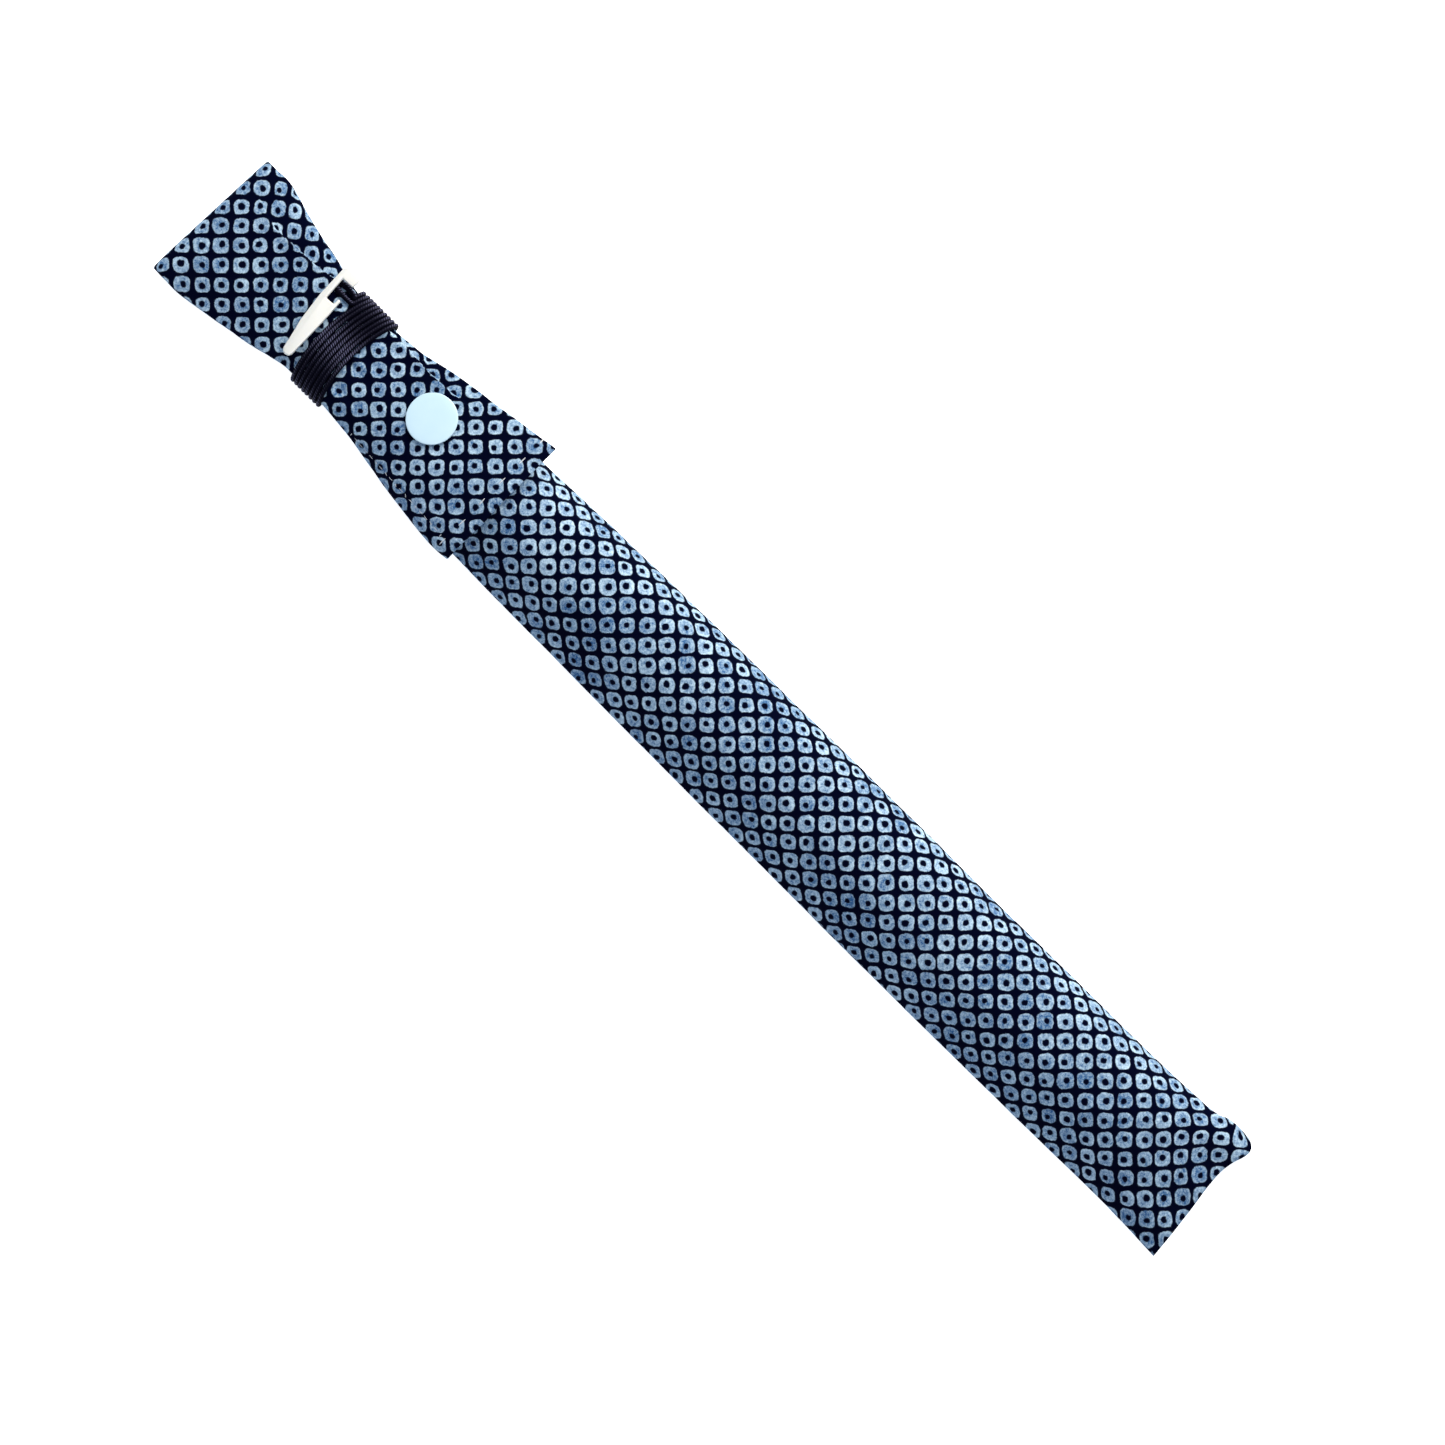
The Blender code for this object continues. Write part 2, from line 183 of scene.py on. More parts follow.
def surfaceNormals(points):  # rings by columns, columns wrap round
    along = np.gradient(points, axis=0)
    around = np.roll(points, -1, 1) - np.roll(points, 1, 1)
    normals = np.cross(around, along)
    normals /= np.linalg.norm(normals, axis=2, keepdims=True) + 1e-12
    centre = points.mean(axis=1, keepdims=True)
    if np.sum(normals * (points - centre)) < 0:
        normals = -normals
    return normals


def addPiece(name, mesh):
    piece = bpy.data.objects.new(name, mesh)
    caseCollection.objects.link(piece)
    return piece


def addMesh(name, vertices, faces, uvs, material, smooth=True):
    mesh = bpy.data.meshes.new(name)
    mesh.from_pydata([tuple(v) for v in vertices], [], faces)
    layer = mesh.uv_layers.new(name="cloth")
    layer.data.foreach_set("uv", np.array(uvs, np.float32).ravel())
    mesh.materials.append(material)
    if smooth:
        mesh.shade_smooth()
    return addPiece(name, mesh)


def faceOutwards(mesh):
    form = bmesh.new()
    form.from_mesh(mesh)
    bmesh.ops.recalc_face_normals(form, faces=form.faces)
    form.to_mesh(mesh)
    form.free()


def markRings(piece, size):  # the print's rings come out a little larger on some stretches
    sizes = piece.data.attributes.new("ringSize", "FLOAT", "POINT")
    sizes.data.foreach_set("value", [size] * len(piece.data.vertices))


def clothTube(name, outer, inner, uv, material, closeEnd=False, ringSize=0.0):
    # outer skin, rounded rims and inner skin of one tube of cloth as a single closed mesh
    ringCount, columnCount = outer.shape[:2]
    rimRings = cloth["rimRings"]

    def rim(row, beside):
        toward = outer[row] - outer[beside]
        toward /= np.linalg.norm(toward, axis=1, keepdims=True) + 1e-12
        middle, radial = (outer[row] + inner[row]) / 2, (outer[row] - inner[row]) / 2
        reach = np.linalg.norm(radial, axis=1, keepdims=True)
        turns = [math.pi * k / (rimRings + 1) for k in range(1, rimRings + 1)]
        return [middle + radial * math.cos(t) + toward * reach * math.sin(t) for t in turns]

    layers = list(outer)
    layerUv = list(uv)
    if not closeEnd:
        layers += rim(-1, -2)
        layerUv += [uv[-1]] * rimRings
    innerStart = len(layers)
    layers += list(inner[::-1])
    layerUv += list(uv[::-1])
    layers += rim(0, 1)[::-1]
    layerUv += [uv[0]] * rimRings
    faces, faceUv = [], []
    for near in range(len(layers)):
        far = (near + 1) % len(layers)
        if closeEnd and near == ringCount - 1:
            continue
        nearUv, farUv = layerUv[near], layerUv[far]
        for k in range(columnCount):
            k2 = (k + 1) % columnCount
            faces.append((near * columnCount + k, far * columnCount + k,
                          far * columnCount + k2, near * columnCount + k2))
            faceUv += [nearUv[k], farUv[k], farUv[k + 1], nearUv[k + 1]]
    if closeEnd:  # the sewn end: each skin zipped shut, top to underside
        for ring in (ringCount - 1, innerStart):
            for k in range(columnCount // 2):
                corners = [k, k + 1, (columnCount - k - 1) % columnCount, (columnCount - k) % columnCount]
                corners = list(dict.fromkeys(corners))
                if len(corners) > 2:
                    faces.append(tuple(ring * columnCount + c for c in corners))
                    faceUv += [layerUv[ring][min(c, columnCount - c)] for c in corners]
    piece = addMesh(name, np.concatenate(layers), faces, faceUv, material)
    faceOutwards(piece.data)
    if ringSize:
        markRings(piece, ringSize)
    return piece


def thicken(points, wall):
    wall = np.broadcast_to(np.asarray(wall, float), (len(points),))
    return points - surfaceNormals(points) * wall[:, None, None]


def newMaterial(name):
    material = bpy.data.materials.new(name)
    material.use_nodes = True
    tree = material.node_tree
    shader = tree.nodes["Principled BSDF"]
    return material, tree, shader


def mathNode(tree, operation, first, second=None, third=None, clamp=False):
    node = tree.nodes.new("ShaderNodeMath")
    node.operation = operation
    node.use_clamp = clamp
    for k, value in enumerate((first, second, third)):
        if value is None:
            continue
        if isinstance(value, (int, float)):
            node.inputs[k].default_value = value
        else:
            tree.links.new(value, node.inputs[k])
    return node.outputs[0]


def mixColour(tree, factor, first, second):
    node = tree.nodes.new("ShaderNodeMix")
    node.data_type = "RGBA"
    for socket, value in ((0, factor), (6, first), (7, second)):
        if isinstance(value, (int, float)):
            node.inputs[socket].default_value = value
        elif isinstance(value, tuple):
            node.inputs[socket].default_value = (*value, 1)
        else:
            tree.links.new(value, node.inputs[socket])
    return node.outputs[2]


def noiseNode(tree, vector, scale, detail=2.0, roughness=0.5):
    node = tree.nodes.new("ShaderNodeTexNoise")
    node.inputs["Scale"].default_value = scale
    node.inputs["Detail"].default_value = detail
    node.inputs["Roughness"].default_value = roughness
    tree.links.new(vector, node.inputs["Vector"])
    return node.outputs["Fac"]


def bumpInto(tree, shader, height, strength, distance):
    bump = tree.nodes.new("ShaderNodeBump")
    bump.inputs["Strength"].default_value = strength
    bump.inputs["Distance"].default_value = distance
    tree.links.new(height, bump.inputs["Height"])
    tree.links.new(bump.outputs["Normal"], shader.inputs["Normal"])


printLook = {
    "pitch": 0.00707,       # ring to ring, rows at 45 degrees to the case
    "ringRoundness": 3.1,   # 2 is a circle, more is squarer
    "ringSpread": 0.05,     # how much the rings' sizes and places vary
    "ringEdge": 22.0,
    "holeSize": 0.138,      # half width of its dark centre
    "holeRoundness": 2.2,
    "holeSpread": 0.15,
    "holeEdge": 20.0,
    "wobble": 0.20,
    "ground": (0.0001, 0.0011, 0.0100),
    "groundWarm": (0.0005, 0.0010, 0.0080),
    "ringDark": (0.026, 0.092, 0.225),
    "ringLight": (0.500, 0.662, 0.772),
    "thread": 0.00046,      # pitch of the weave
    # how fine each mottling of the dye is, its detail and roughness, and how strong it is
    "mottles": [(15.0, 3.0, 0.65, 1.30), (6.5, 2.0, 0.6, 1.30), (1.7, 2.0, 0.5, 0.9), (0.30, 2.0, 0.5, 0.6)],
}


def vectorNode(tree, operation, first, second=None, scale=None):
    node = tree.nodes.new("ShaderNodeVectorMath")
    node.operation = operation
    tree.links.new(first, node.inputs[0])
    if isinstance(second, tuple):
        node.inputs[1].default_value = second
    elif second is not None:
        tree.links.new(second, node.inputs[1])
    if scale is not None:
        node.inputs["Scale"].default_value = scale
    return node.outputs[0]


def splitNode(tree, vector):
    node = tree.nodes.new("ShaderNodeSeparateXYZ")
    tree.links.new(vector, node.inputs[0])
    return node.outputs


def printedRings(tree, look, cells):
    # 1 inside a ring, the way out to its rim, and one random value for each ring
    wobble = tree.nodes.new("ShaderNodeTexNoise")  # every edge is a little uneven, as hand-dyed rings are
    wobble.inputs["Scale"].default_value = 2.6
    wobble.inputs["Detail"].default_value = 3.0
    wobble.inputs["Roughness"].default_value = 0.6
    tree.links.new(cells, wobble.inputs["Vector"])
    centred = vectorNode(tree, "SUBTRACT", wobble.outputs["Color"], (0.5, 0.5, 0.5))
    wobbled = vectorNode(tree, "ADD", cells, vectorNode(tree, "SCALE", centred, scale=look["wobble"]))
    whole = vectorNode(tree, "FLOOR", cells)
    inCell = splitNode(tree, vectorNode(tree, "SUBTRACT", wobbled, whole))
    random = tree.nodes.new("ShaderNodeTexWhiteNoise")
    random.noise_dimensions = "2D"
    tree.links.new(whole, random.inputs["Vector"])
    chance = tree.nodes.new("ShaderNodeSeparateColor")
    tree.links.new(random.outputs["Color"], chance.inputs[0])

    def reach(chances, amount, roundness):  # how far out a point is, from a middle that varies by ring
        powers = []
        for socket, one in zip(inCell, chances):
            middle = mathNode(tree, "MULTIPLY_ADD", chance.outputs[one], amount, 0.5 - amount / 2)
            side = mathNode(tree, "ABSOLUTE", mathNode(tree, "SUBTRACT", socket, middle))
            powers.append(mathNode(tree, "POWER", side, roundness))
        return mathNode(tree, "POWER", mathNode(tree, "ADD", *powers), 1 / roundness)

    square = reach((0, 1), look["ringSpread"], look["ringRoundness"])
    sizeNode = tree.nodes.new("ShaderNodeAttribute")
    sizeNode.attribute_name = "ringSize"
    sizeChance = mathNode(tree, "MULTIPLY_ADD", chance.outputs[2], look["ringSpread"], -0.030)
    ringHalf = mathNode(tree, "ADD", sizeNode.outputs["Fac"], sizeChance)
    inside = mathNode(tree, "SUBTRACT", ringHalf, square)
    ring = mathNode(tree, "MULTIPLY", inside, look["ringEdge"], clamp=True)
    centre = reach((1, 2), look["holeSpread"], look["holeRoundness"])
    holeHalf = mathNode(tree, "MULTIPLY_ADD", chance.outputs[0], 0.045, look["holeSize"] - 0.022)
    pastHole = mathNode(tree, "SUBTRACT", centre, holeHalf)
    outside = mathNode(tree, "MULTIPLY", pastHole, look["holeEdge"], clamp=True)
    dyed = mathNode(tree, "MULTIPLY", ring, outside)
    return dyed, mathNode(tree, "DIVIDE", square, ringHalf), random.outputs["Value"]


def plainWeave(tree, look, uv, cells):  # threads over and under, each thread a little uneven
    drift = noiseNode(tree, cells, 5.0, 2.0)
    threads = splitNode(tree, vectorNode(tree, "SCALE", uv, scale=2 * math.pi / look["thread"]))
    along = mathNode(tree, "SINE", mathNode(tree, "MULTIPLY_ADD", drift, 5.0, threads[0]))
    across = mathNode(tree, "SINE", mathNode(tree, "MULTIPLY_ADD", drift, -4.0, threads[1]))
    return mathNode(tree, "MULTIPLY", along, across)


def makePrintMaterial(look):
    material, tree, shader = newMaterial("printedCotton")
    uvNode = tree.nodes.new("ShaderNodeUVMap")
    uvNode.uv_map = "cloth"
    turn = tree.nodes.new("ShaderNodeMapping")
    turn.inputs["Rotation"].default_value = (0, 0, math.radians(45))
    tree.links.new(uvNode.outputs[0], turn.inputs["Vector"])
    cells = vectorNode(tree, "SCALE", turn.outputs[0], scale=1 / look["pitch"])
    dyed, outward, perRing = printedRings(tree, look, cells)
    weave = plainWeave(tree, look, uvNode.outputs[0], cells)
    # tone: per ring, soft clouds, threads; lighter towards a ring's rim
    tone = mathNode(tree, "MULTIPLY_ADD", perRing, 0.22, -0.14)
    mottles = [noiseNode(tree, cells, *mottle[:3]) for mottle in look["mottles"]]
    for mottle, setup in zip(mottles, look["mottles"]):
        tone = mathNode(tree, "ADD", tone, mathNode(tree, "MULTIPLY_ADD", mottle, setup[3], -setup[3] / 2))
    tone = mathNode(tree, "MULTIPLY_ADD", weave, 0.16, tone)
    rim = mathNode(tree, "POWER", outward, 4.0)
    tone = mathNode(tree, "ADD", mathNode(tree, "MULTIPLY_ADD", rim, 0.32, 0.35), tone, clamp=True)
    ringColour = mixColour(tree, tone, look["ringDark"], look["ringLight"])
    groundColour = mixColour(tree, noiseNode(tree, cells, 6.0, 2.0), look["ground"], look["groundWarm"])
    tree.links.new(mixColour(tree, dyed, groundColour, ringColour), shader.inputs["Base Color"])
    height = mathNode(tree, "ADD", mathNode(tree, "MULTIPLY", weave, 0.5), mottles[0])
    bumpInto(tree, shader, height, 0.45, 0.00010)
    shader.inputs["Roughness"].default_value = 1.0
    shader.inputs["Specular IOR Level"].default_value = 0.02
    return material


liningLook = {
    "dark": (0.006, 0.010, 0.028),
    "light": (0.016, 0.024, 0.058),
    "grain": 2400.0,
}


def makeLiningMaterial(look):
    material, tree, shader = newMaterial("liningCotton")
    coordinates = tree.nodes.new("ShaderNodeTexCoord")
    fine = noiseNode(tree, coordinates.outputs["Object"], look["grain"], 3.0, 0.6)
    colour = mixColour(tree, fine, look["dark"], look["light"])
    tree.links.new(colour, shader.inputs["Base Color"])
    bumpInto(tree, shader, fine, 0.4, 0.0001)
    shader.inputs["Roughness"].default_value = 0.92
    shader.inputs["Specular IOR Level"].default_value = 0.2
    return material


cordLook = {
    "dark": (0.0007, 0.0006, 0.0048),
    "sheenFleck": (0.200, 0.200, 0.340),  # painted sheen: lighter flecks along the braid's threads, painted on the outside of each turn
    "fleckPitch": 0.00095,
    "yarnPairs": 3,
}


def makeCordMaterial(look):
    material, tree, shader = newMaterial("braidedCord")
    uvNode = tree.nodes.new("ShaderNodeUVMap")
    uvNode.uv_map = "cloth"
    cordUv = splitNode(tree, uvNode.outputs[0])
    along = mathNode(tree, "MULTIPLY", cordUv[0], 2 * math.pi / look["fleckPitch"])
    around = mathNode(tree, "MULTIPLY", cordUv[1], 2 * math.pi * look["yarnPairs"])
    first = mathNode(tree, "SINE", mathNode(tree, "ADD", along, around))
    second = mathNode(tree, "SINE", mathNode(tree, "SUBTRACT", along, around))
    braid = mathNode(tree, "MAXIMUM", first, second)
    # painted sheen: lighter flecks on one set of braid threads, kept to the outside of each turn by the crown
    # below
    sheenFleck = noiseNode(tree, uvNode.outputs[0], 900.0, 2.0)
    lit = mathNode(tree, "POWER", mathNode(tree, "MULTIPLY_ADD", first, 0.5, 0.5, clamp=True), 2.5)
    lit = mathNode(tree, "MULTIPLY", lit, mathNode(tree, "MULTIPLY_ADD", sheenFleck, 3.6, -1.15, clamp=True))
    crownNode = tree.nodes.new("ShaderNodeAttribute")
    crownNode.attribute_name = "crown"
    crown = mathNode(tree, "MULTIPLY_ADD", crownNode.outputs["Fac"], 2.2, -1.15, clamp=True)
    lit = mathNode(tree, "MULTIPLY", lit, crown)
    tree.links.new(mixColour(tree, lit, look["dark"], look["sheenFleck"]), shader.inputs["Base Color"])
    bumpInto(tree, shader, braid, 0.6, 0.00012)
    shader.inputs["Roughness"].default_value = 0.7
    shader.inputs["Specular IOR Level"].default_value = 0.05
    return material


clawLook = {
    "shade": (0.68, 0.675, 0.635),
    "light": (0.74, 0.745, 0.715),
    "grain": (0.62, 0.61, 0.56),
}


def makeClawMaterial(look):
    material, tree, shader = newMaterial("ivoryClaw")
    coordinates = tree.nodes.new("ShaderNodeTexCoord")
    mapping = tree.nodes.new("ShaderNodeMapping")  # stretches the grain along the claw
    mapping.inputs["Scale"].default_value = (1, 0.12, 1)
    tree.links.new(coordinates.outputs["Object"], mapping.inputs["Vector"])
    grain = noiseNode(tree, mapping.outputs[0], 900.0, 3.0)
    cloud = noiseNode(tree, coordinates.outputs["Object"], 90.0, 2.0)
    tint = mixColour(tree, cloud, look["shade"], look["light"])
    colour = mixColour(tree, mathNode(tree, "MULTIPLY", grain, 0.35), tint, look["grain"])
    tree.links.new(colour, shader.inputs["Base Color"])
    bumpInto(tree, shader, grain, 0.12, 0.00008)
    shader.inputs["Roughness"].default_value = 0.32
    shader.inputs["Subsurface Weight"].default_value = 0.12
    shader.inputs["Subsurface Radius"].default_value = (0.002, 0.0016, 0.001)
    return material


badgeLook = {
    "shade": (0.46, 0.635, 0.745),
    "light": (0.51, 0.675, 0.770),
}


def makeBadgeMaterial(look):
    material, tree, shader = newMaterial("paleBlueBadge")
    coordinates = tree.nodes.new("ShaderNodeTexCoord")
    cloud = noiseNode(tree, coordinates.outputs["Object"], 160.0, 2.0)
    colour = mixColour(tree, cloud, look["shade"], look["light"])
    tree.links.new(colour, shader.inputs["Base Color"])
    fine = noiseNode(tree, coordinates.outputs["Object"], 1500.0, 2.0)
    bumpInto(tree, shader, fine, 0.08, 0.00005)
    shader.inputs["Roughness"].default_value = 0.34
    shader.inputs["Coat Weight"].default_value = 0.1
    return material


threadLook = {
    "shade": (0.42, 0.45, 0.50),
    "light": (0.66, 0.67, 0.68),
}


def makeThreadMaterial(look):
    material, tree, shader = newMaterial("stitchThread")
    coordinates = tree.nodes.new("ShaderNodeTexCoord")
    twist = noiseNode(tree, coordinates.outputs["Object"], 3000.0, 2.0)
    colour = mixColour(tree, twist, look["shade"], look["light"])
    tree.links.new(colour, shader.inputs["Base Color"])
    bumpInto(tree, shader, twist, 0.3, 0.00005)
    shader.inputs["Roughness"].default_value = 0.6
    return material


materials = {
    "print": makePrintMaterial(printLook),
    "lining": makeLiningMaterial(liningLook),
    "cord": makeCordMaterial(cordLook),
    "claw": makeClawMaterial(clawLook),
    "badge": makeBadgeMaterial(badgeLook),
    "thread": makeThreadMaterial(threadLook),
}
print("materials made")


# the closing cord: two strands, four turns each, and the bight under the claw
cord = {
    "radius": 0.00090,
    "pitch": 0.0018,
    "turns": 4,
    "tailTurn": 0.2,
    "startTurn": 46,       # degrees up the right side, where the strands leave the claw
    "startStagger": 7,
    "firstRidge": 0.0617,  # along the case, at the neck's sides
    "bow": 0.0034,         # over the top the ridges bow this far towards the fold
    "sway": 0.00013,       # no turn lies quite true
    "swayUp": 0.00010,
    "left": -0.0211,
    "right": 0.0185,
    "low": 0.00118,
    "high": 0.01255,
    "level": 0.0062,
    "lowPower": 4.2,
    "highPower": 3.0,
    "strandSteps": 300,
    "sides": 14,
    "step": 0.0003,
    "plaits": 4,
    "plaitPitch": 0.0019,
    "plaitDepth": 0.050,
    "bightFullness": 0.36,  # the cord is slack and fuller where it passes through the claw
    "bightAt": 0.0560,      # the loop nearer the fold than this is made as a piece of its own
    "liftFrom": (0.0555, 0.0115),
    "liftTo": (0.0520, 0.0115),
    "flattenTo": 0.01094,   # the turns' reach were they to close round the upper neck alone, opened out
    "flattenKeep": 0.53,
}
# along the case, across it and up, in millimetres
bightRoute = [(57.0, 15.5, 11.2), (54.8, 15.8, 11.6), (52.0, 15.8, 11.7), (50.0, 15.4, 11.3),
              (49.1, 14.3, 11.2), (50.0, 13.1, 11.3), (52.0, 12.8, 11.8), (54.8, 12.7, 11.7),
              (57.2, 12.8, 11.7)]


def windingPoint(angle):
    middle = (cord["left"] + cord["right"]) / 2
    half = (cord["right"] - cord["left"]) / 2
    c, s = math.cos(angle), math.sin(angle)
    power = cord["highPower"] if s > 0 else cord["lowPower"]
    reach = (cord["high"] if s > 0 else cord["low"]) - cord["level"]
    y = middle + half * math.copysign(abs(c) ** (2 / power), c)
    return y, cord["level"] + reach * abs(s) ** (2 / power)


def strand(firstRidge):
    points = []
    start = math.radians(cord["startTurn"] + cord["startStagger"] * firstRidge)
    finish = -(cord["turns"] + cord["tailTurn"]) * 2 * math.pi
    for i in range(cord["strandSteps"] + 1):
        angle = start + (finish - start) * i / cord["strandSteps"]
        turned = -angle / (2 * math.pi)
        whole = math.floor(turned)
        ease = float(softStep((turned - whole) / 0.5))  # each turn steps over to its next ridge on top
        y, z = windingPoint(angle)
        across = (2 * y - cord["left"] - cord["right"]) / (cord["right"] - cord["left"])
        bow = cord["bow"] * (1 - across * across) if z > cord["level"] else 0.0
        x = foldX + cord["firstRidge"] + cord["pitch"] * (firstRidge + 2 * (whole + ease - 1)) - bow
        sway = math.sin(angle * 0.83 + firstRidge * 2.1) + math.sin(angle * 1.7 + firstRidge)
        x += cord["sway"] * sway
        points.append((x, y, z + cord["swayUp"] * math.cos(angle * 1.3 + firstRidge)))
    return points


def smoothRoute(points, step):  # a smooth curve through the points, evenly stepped
    points = np.array(points)
    padded = np.vstack([2 * points[0] - points[1], points, 2 * points[-1] - points[-2]])
    dense = []
    for p0, p1, p2, p3 in zip(padded, padded[1:], padded[2:], padded[3:]):
        pieces = max(2, int(np.linalg.norm(p2 - p1) / step) + 1)
        t = np.linspace(0, 1, pieces, endpoint=False)[:, None]
        dense.append(0.5 * (2 * p1 + (p2 - p0) * t + (2 * p0 - 5 * p1 + 4 * p2 - p3) * t ** 2
                            + (3 * p1 - p0 - 3 * p2 + p3) * t ** 3))
    dense = np.vstack(dense + [points[-1:]])
    arc = arcAlong(dense)
    at = np.arange(0, arc[-1], step)
    even = np.stack([np.interp(at, arc, dense[:, k]) for k in range(3)], 1)
    reach = 6  # steps either side that the last smoothing averages over
    kernel = np.exp(-0.5 * (np.arange(-reach, reach + 1) / (0.4 * reach)) ** 2)
    kernel /= kernel.sum()
    padded = np.vstack([even[:1].repeat(reach, 0), even, even[-1:].repeat(reach, 0)])
    return np.stack([np.convolve(padded[:, k], kernel, "valid") for k in range(3)], 1)


def braidedTube(name, route, setup, material, middle, taper, full):
    tangent = np.gradient(route, axis=0)
    tangent /= np.linalg.norm(tangent, axis=1, keepdims=True)
    arc = arcAlong(route)
    sides = setup["sides"]
    turn = np.arange(sides) * 2 * math.pi / sides
    side = np.cross(tangent[0], (0.3, 0.2, 1.0))
    rings, crowns = [], []
    for i in range(len(route)):
        side = side - tangent[i] * np.dot(side, tangent[i])
        side /= np.linalg.norm(side)
        other = np.cross(tangent[i], side)
        phase = 2 * math.pi * arc[i] / setup["plaitPitch"]
        plait = np.maximum(np.sin(setup["plaits"] * turn + phase), np.sin(setup["plaits"] * turn - phase))
        radius = setup["radius"] * (1 + setup["plaitDepth"] * (plait - 0.6))
        fromEnd = min(i, len(route) - 1 - i)
        if fromEnd < 3 and taper[0 if i < 3 else 1]:  # a cut end is sealed and a little drawn in
            radius = radius * (0.75 + 0.08 * fromEnd)
        radius = radius * (1 + full * float(softStep((fromEnd - 4) / 12)))
        around = np.outer(np.cos(turn), side) + np.outer(np.sin(turn), other)
        outward = (route[i] - middle) * (0, 1, 1)
        crowns.append(around @ (outward / np.linalg.norm(outward)))
        rings.append(route[i] + around * radius[:, None])
    faces, uvs = [], []
    last = len(route) - 1
    for i in range(last):
        for k in range(sides):
            k2 = (k + 1) % sides
            faces.append((i * sides + k, i * sides + k2, (i + 1) * sides + k2, (i + 1) * sides + k))
            uvs += [(arc[i], k / sides), (arc[i], (k + 1) / sides),
                    (arc[i + 1], (k + 1) / sides), (arc[i + 1], k / sides)]
    startPole = len(route) * sides
    endPole = startPole + 1
    for k in range(sides):
        k2 = (k + 1) % sides
        faces.append((startPole, k2, k))
        uvs += [(arc[0], 0), (arc[0], (k + 1) / sides), (arc[0], k / sides)]
        faces.append((endPole, last * sides + k, last * sides + k2))
        uvs += [(arc[last], 0), (arc[last], k / sides), (arc[last], (k + 1) / sides)]
    piece = addMesh(name, np.concatenate(rings + [route[:1], route[-1:]]), faces, uvs, material)
    crown = piece.data.attributes.new("crown", "FLOAT", "POINT")  # 1 on the outside of each turn, where the cord's painted sheen goes
    crown.data.foreach_set("value", np.concatenate(crowns + [[0, 0]]).astype(np.float32))
    return piece


def makeCord(setup):
    bight = [(foldX + x * mm, y * mm, z * mm) for x, y, z in bightRoute]
    route = smoothRoute(strand(0)[::-1] + bight + strand(1), setup["step"])
    middle = (0, (setup["left"] + setup["right"]) / 2, setup["level"])
    loop = np.nonzero(route[:, 0] < foldX + setup["bightAt"])[0]
    near, far = loop[0], loop[-1]
    # name, stretch of the route, which of its ends are drawn in, and how full it is
    parts = [("cordFirstHalf", route[:near + 4], (True, False), 0.0),
             ("cordSecondHalf", route[far - 3:], (False, True), 0.0),
             ("cordBight", route[near - 2:far + 3], (True, True), setup["bightFullness"])]
    for name, line, taper, full in parts:
        piece = braidedTube(name, line, setup, materials["cord"], middle, taper, full)
        if name == "cordBight":
            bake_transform(piece)
        else:
            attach(piece, "flap")
            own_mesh(piece)
        if name == "cordFirstHalf":
            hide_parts("closing_cord")
    print("cord made, its length", round(arcAlong(route)[-1], 4))


makeCord(cord)


lowerOutline = readOutline(["head_lower_shell", "neck_lower_shell", "body_shell"])
upperOutline = readOutline(["head_upper_shell", "neck_upper_shell"])
tongueOutline = readOutline(["tongue_shell"])

cloth = {
    "wall": 0.00045,
    "columns": {"body": 150, "head": 210, "tongue": 210},
    "ringStep": {"body": 0.0016, "head": 0.0010, "tongue": 0.0010},
    "joinAt": 0.0672,      # where the three stretches meet, under the winding
    "overlap": 0.0030,
    "offTable": 0.00002,
    "rimRings": 3,
    "centreLine": -0.0013,
    "edgeEase": 2.6,
}


def anchorUv(u, v, ringU, ringV):  # slides the cloth so that a printed ring is centred there
    pitch = printLook["pitch"]
    a = (ringU - ringV) / math.sqrt(2) / pitch
    b = (ringU + ringV) / math.sqrt(2) / pitch
    a, b = 0.5 - (a - math.floor(a)), 0.5 - (b - math.floor(b))
    du = (a + b) / math.sqrt(2) * pitch
    dv = (b - a) / math.sqrt(2) * pitch
    return u + du, v + dv


def gather(x, u, v, seed):  # lengthwise gathers near the winding, fading away from it
    along = x - foldX
    near = np.exp(-np.maximum(0, 0.060 - along) / 0.010) * (along < cloth["joinAt"])
    near = near + np.exp(-np.maximum(0, along - 0.0745) / 0.013) * (along >= cloth["joinAt"])
    drift = 0.0016 * cloudNoise(u, v, 0.016, seed)
    broad = np.sin((v + drift) * 2 * math.pi / 0.0074)
    narrow = np.sin((v - drift) * 2 * math.pi / 0.0047 + 1.3)
    return near * (broad + 0.6 * narrow) * 0.00030


def crumple(u, v, creases):  # small creases, each size with its height, its size and its seed
    return sum(height * cloudNoise(u, v, size, seed) for height, size, seed in creases)


def pleat(line, x, y):  # line of (along, y, height, hidden cloth); gives height and hidden cloth
    line = np.array(line)
    along = x - foldX
    centre = np.interp(along, line[:, 0], line[:, 1])
    height = np.interp(along, line[:, 0], line[:, 2], 0, 0)
    hidden = np.interp(along, line[:, 0], line[:, 3], 0, 0)
    d = y - centre
    edge = softStep(d / 0.0003 + 0.5)  # the folded edge stands up on the left and drops on the right
    left = np.exp(-np.abs(d) / 0.0030)
    right = -0.75 * np.exp(-np.abs(d) / 0.0026)
    return height * between(left, right, edge), hidden * edge


def shiftPrint(points, uv, hidden, rows):
    # cloth hidden in a pleat shifts the print on its right, round to the seam
    columns = np.arange(points.shape[1])
    for i in rows:
        rightEdge = np.argmax(points[i, :, 1])
        uv[i, :-1, 1] += np.where(columns < rightEdge, hidden[i].max(), hidden[i])


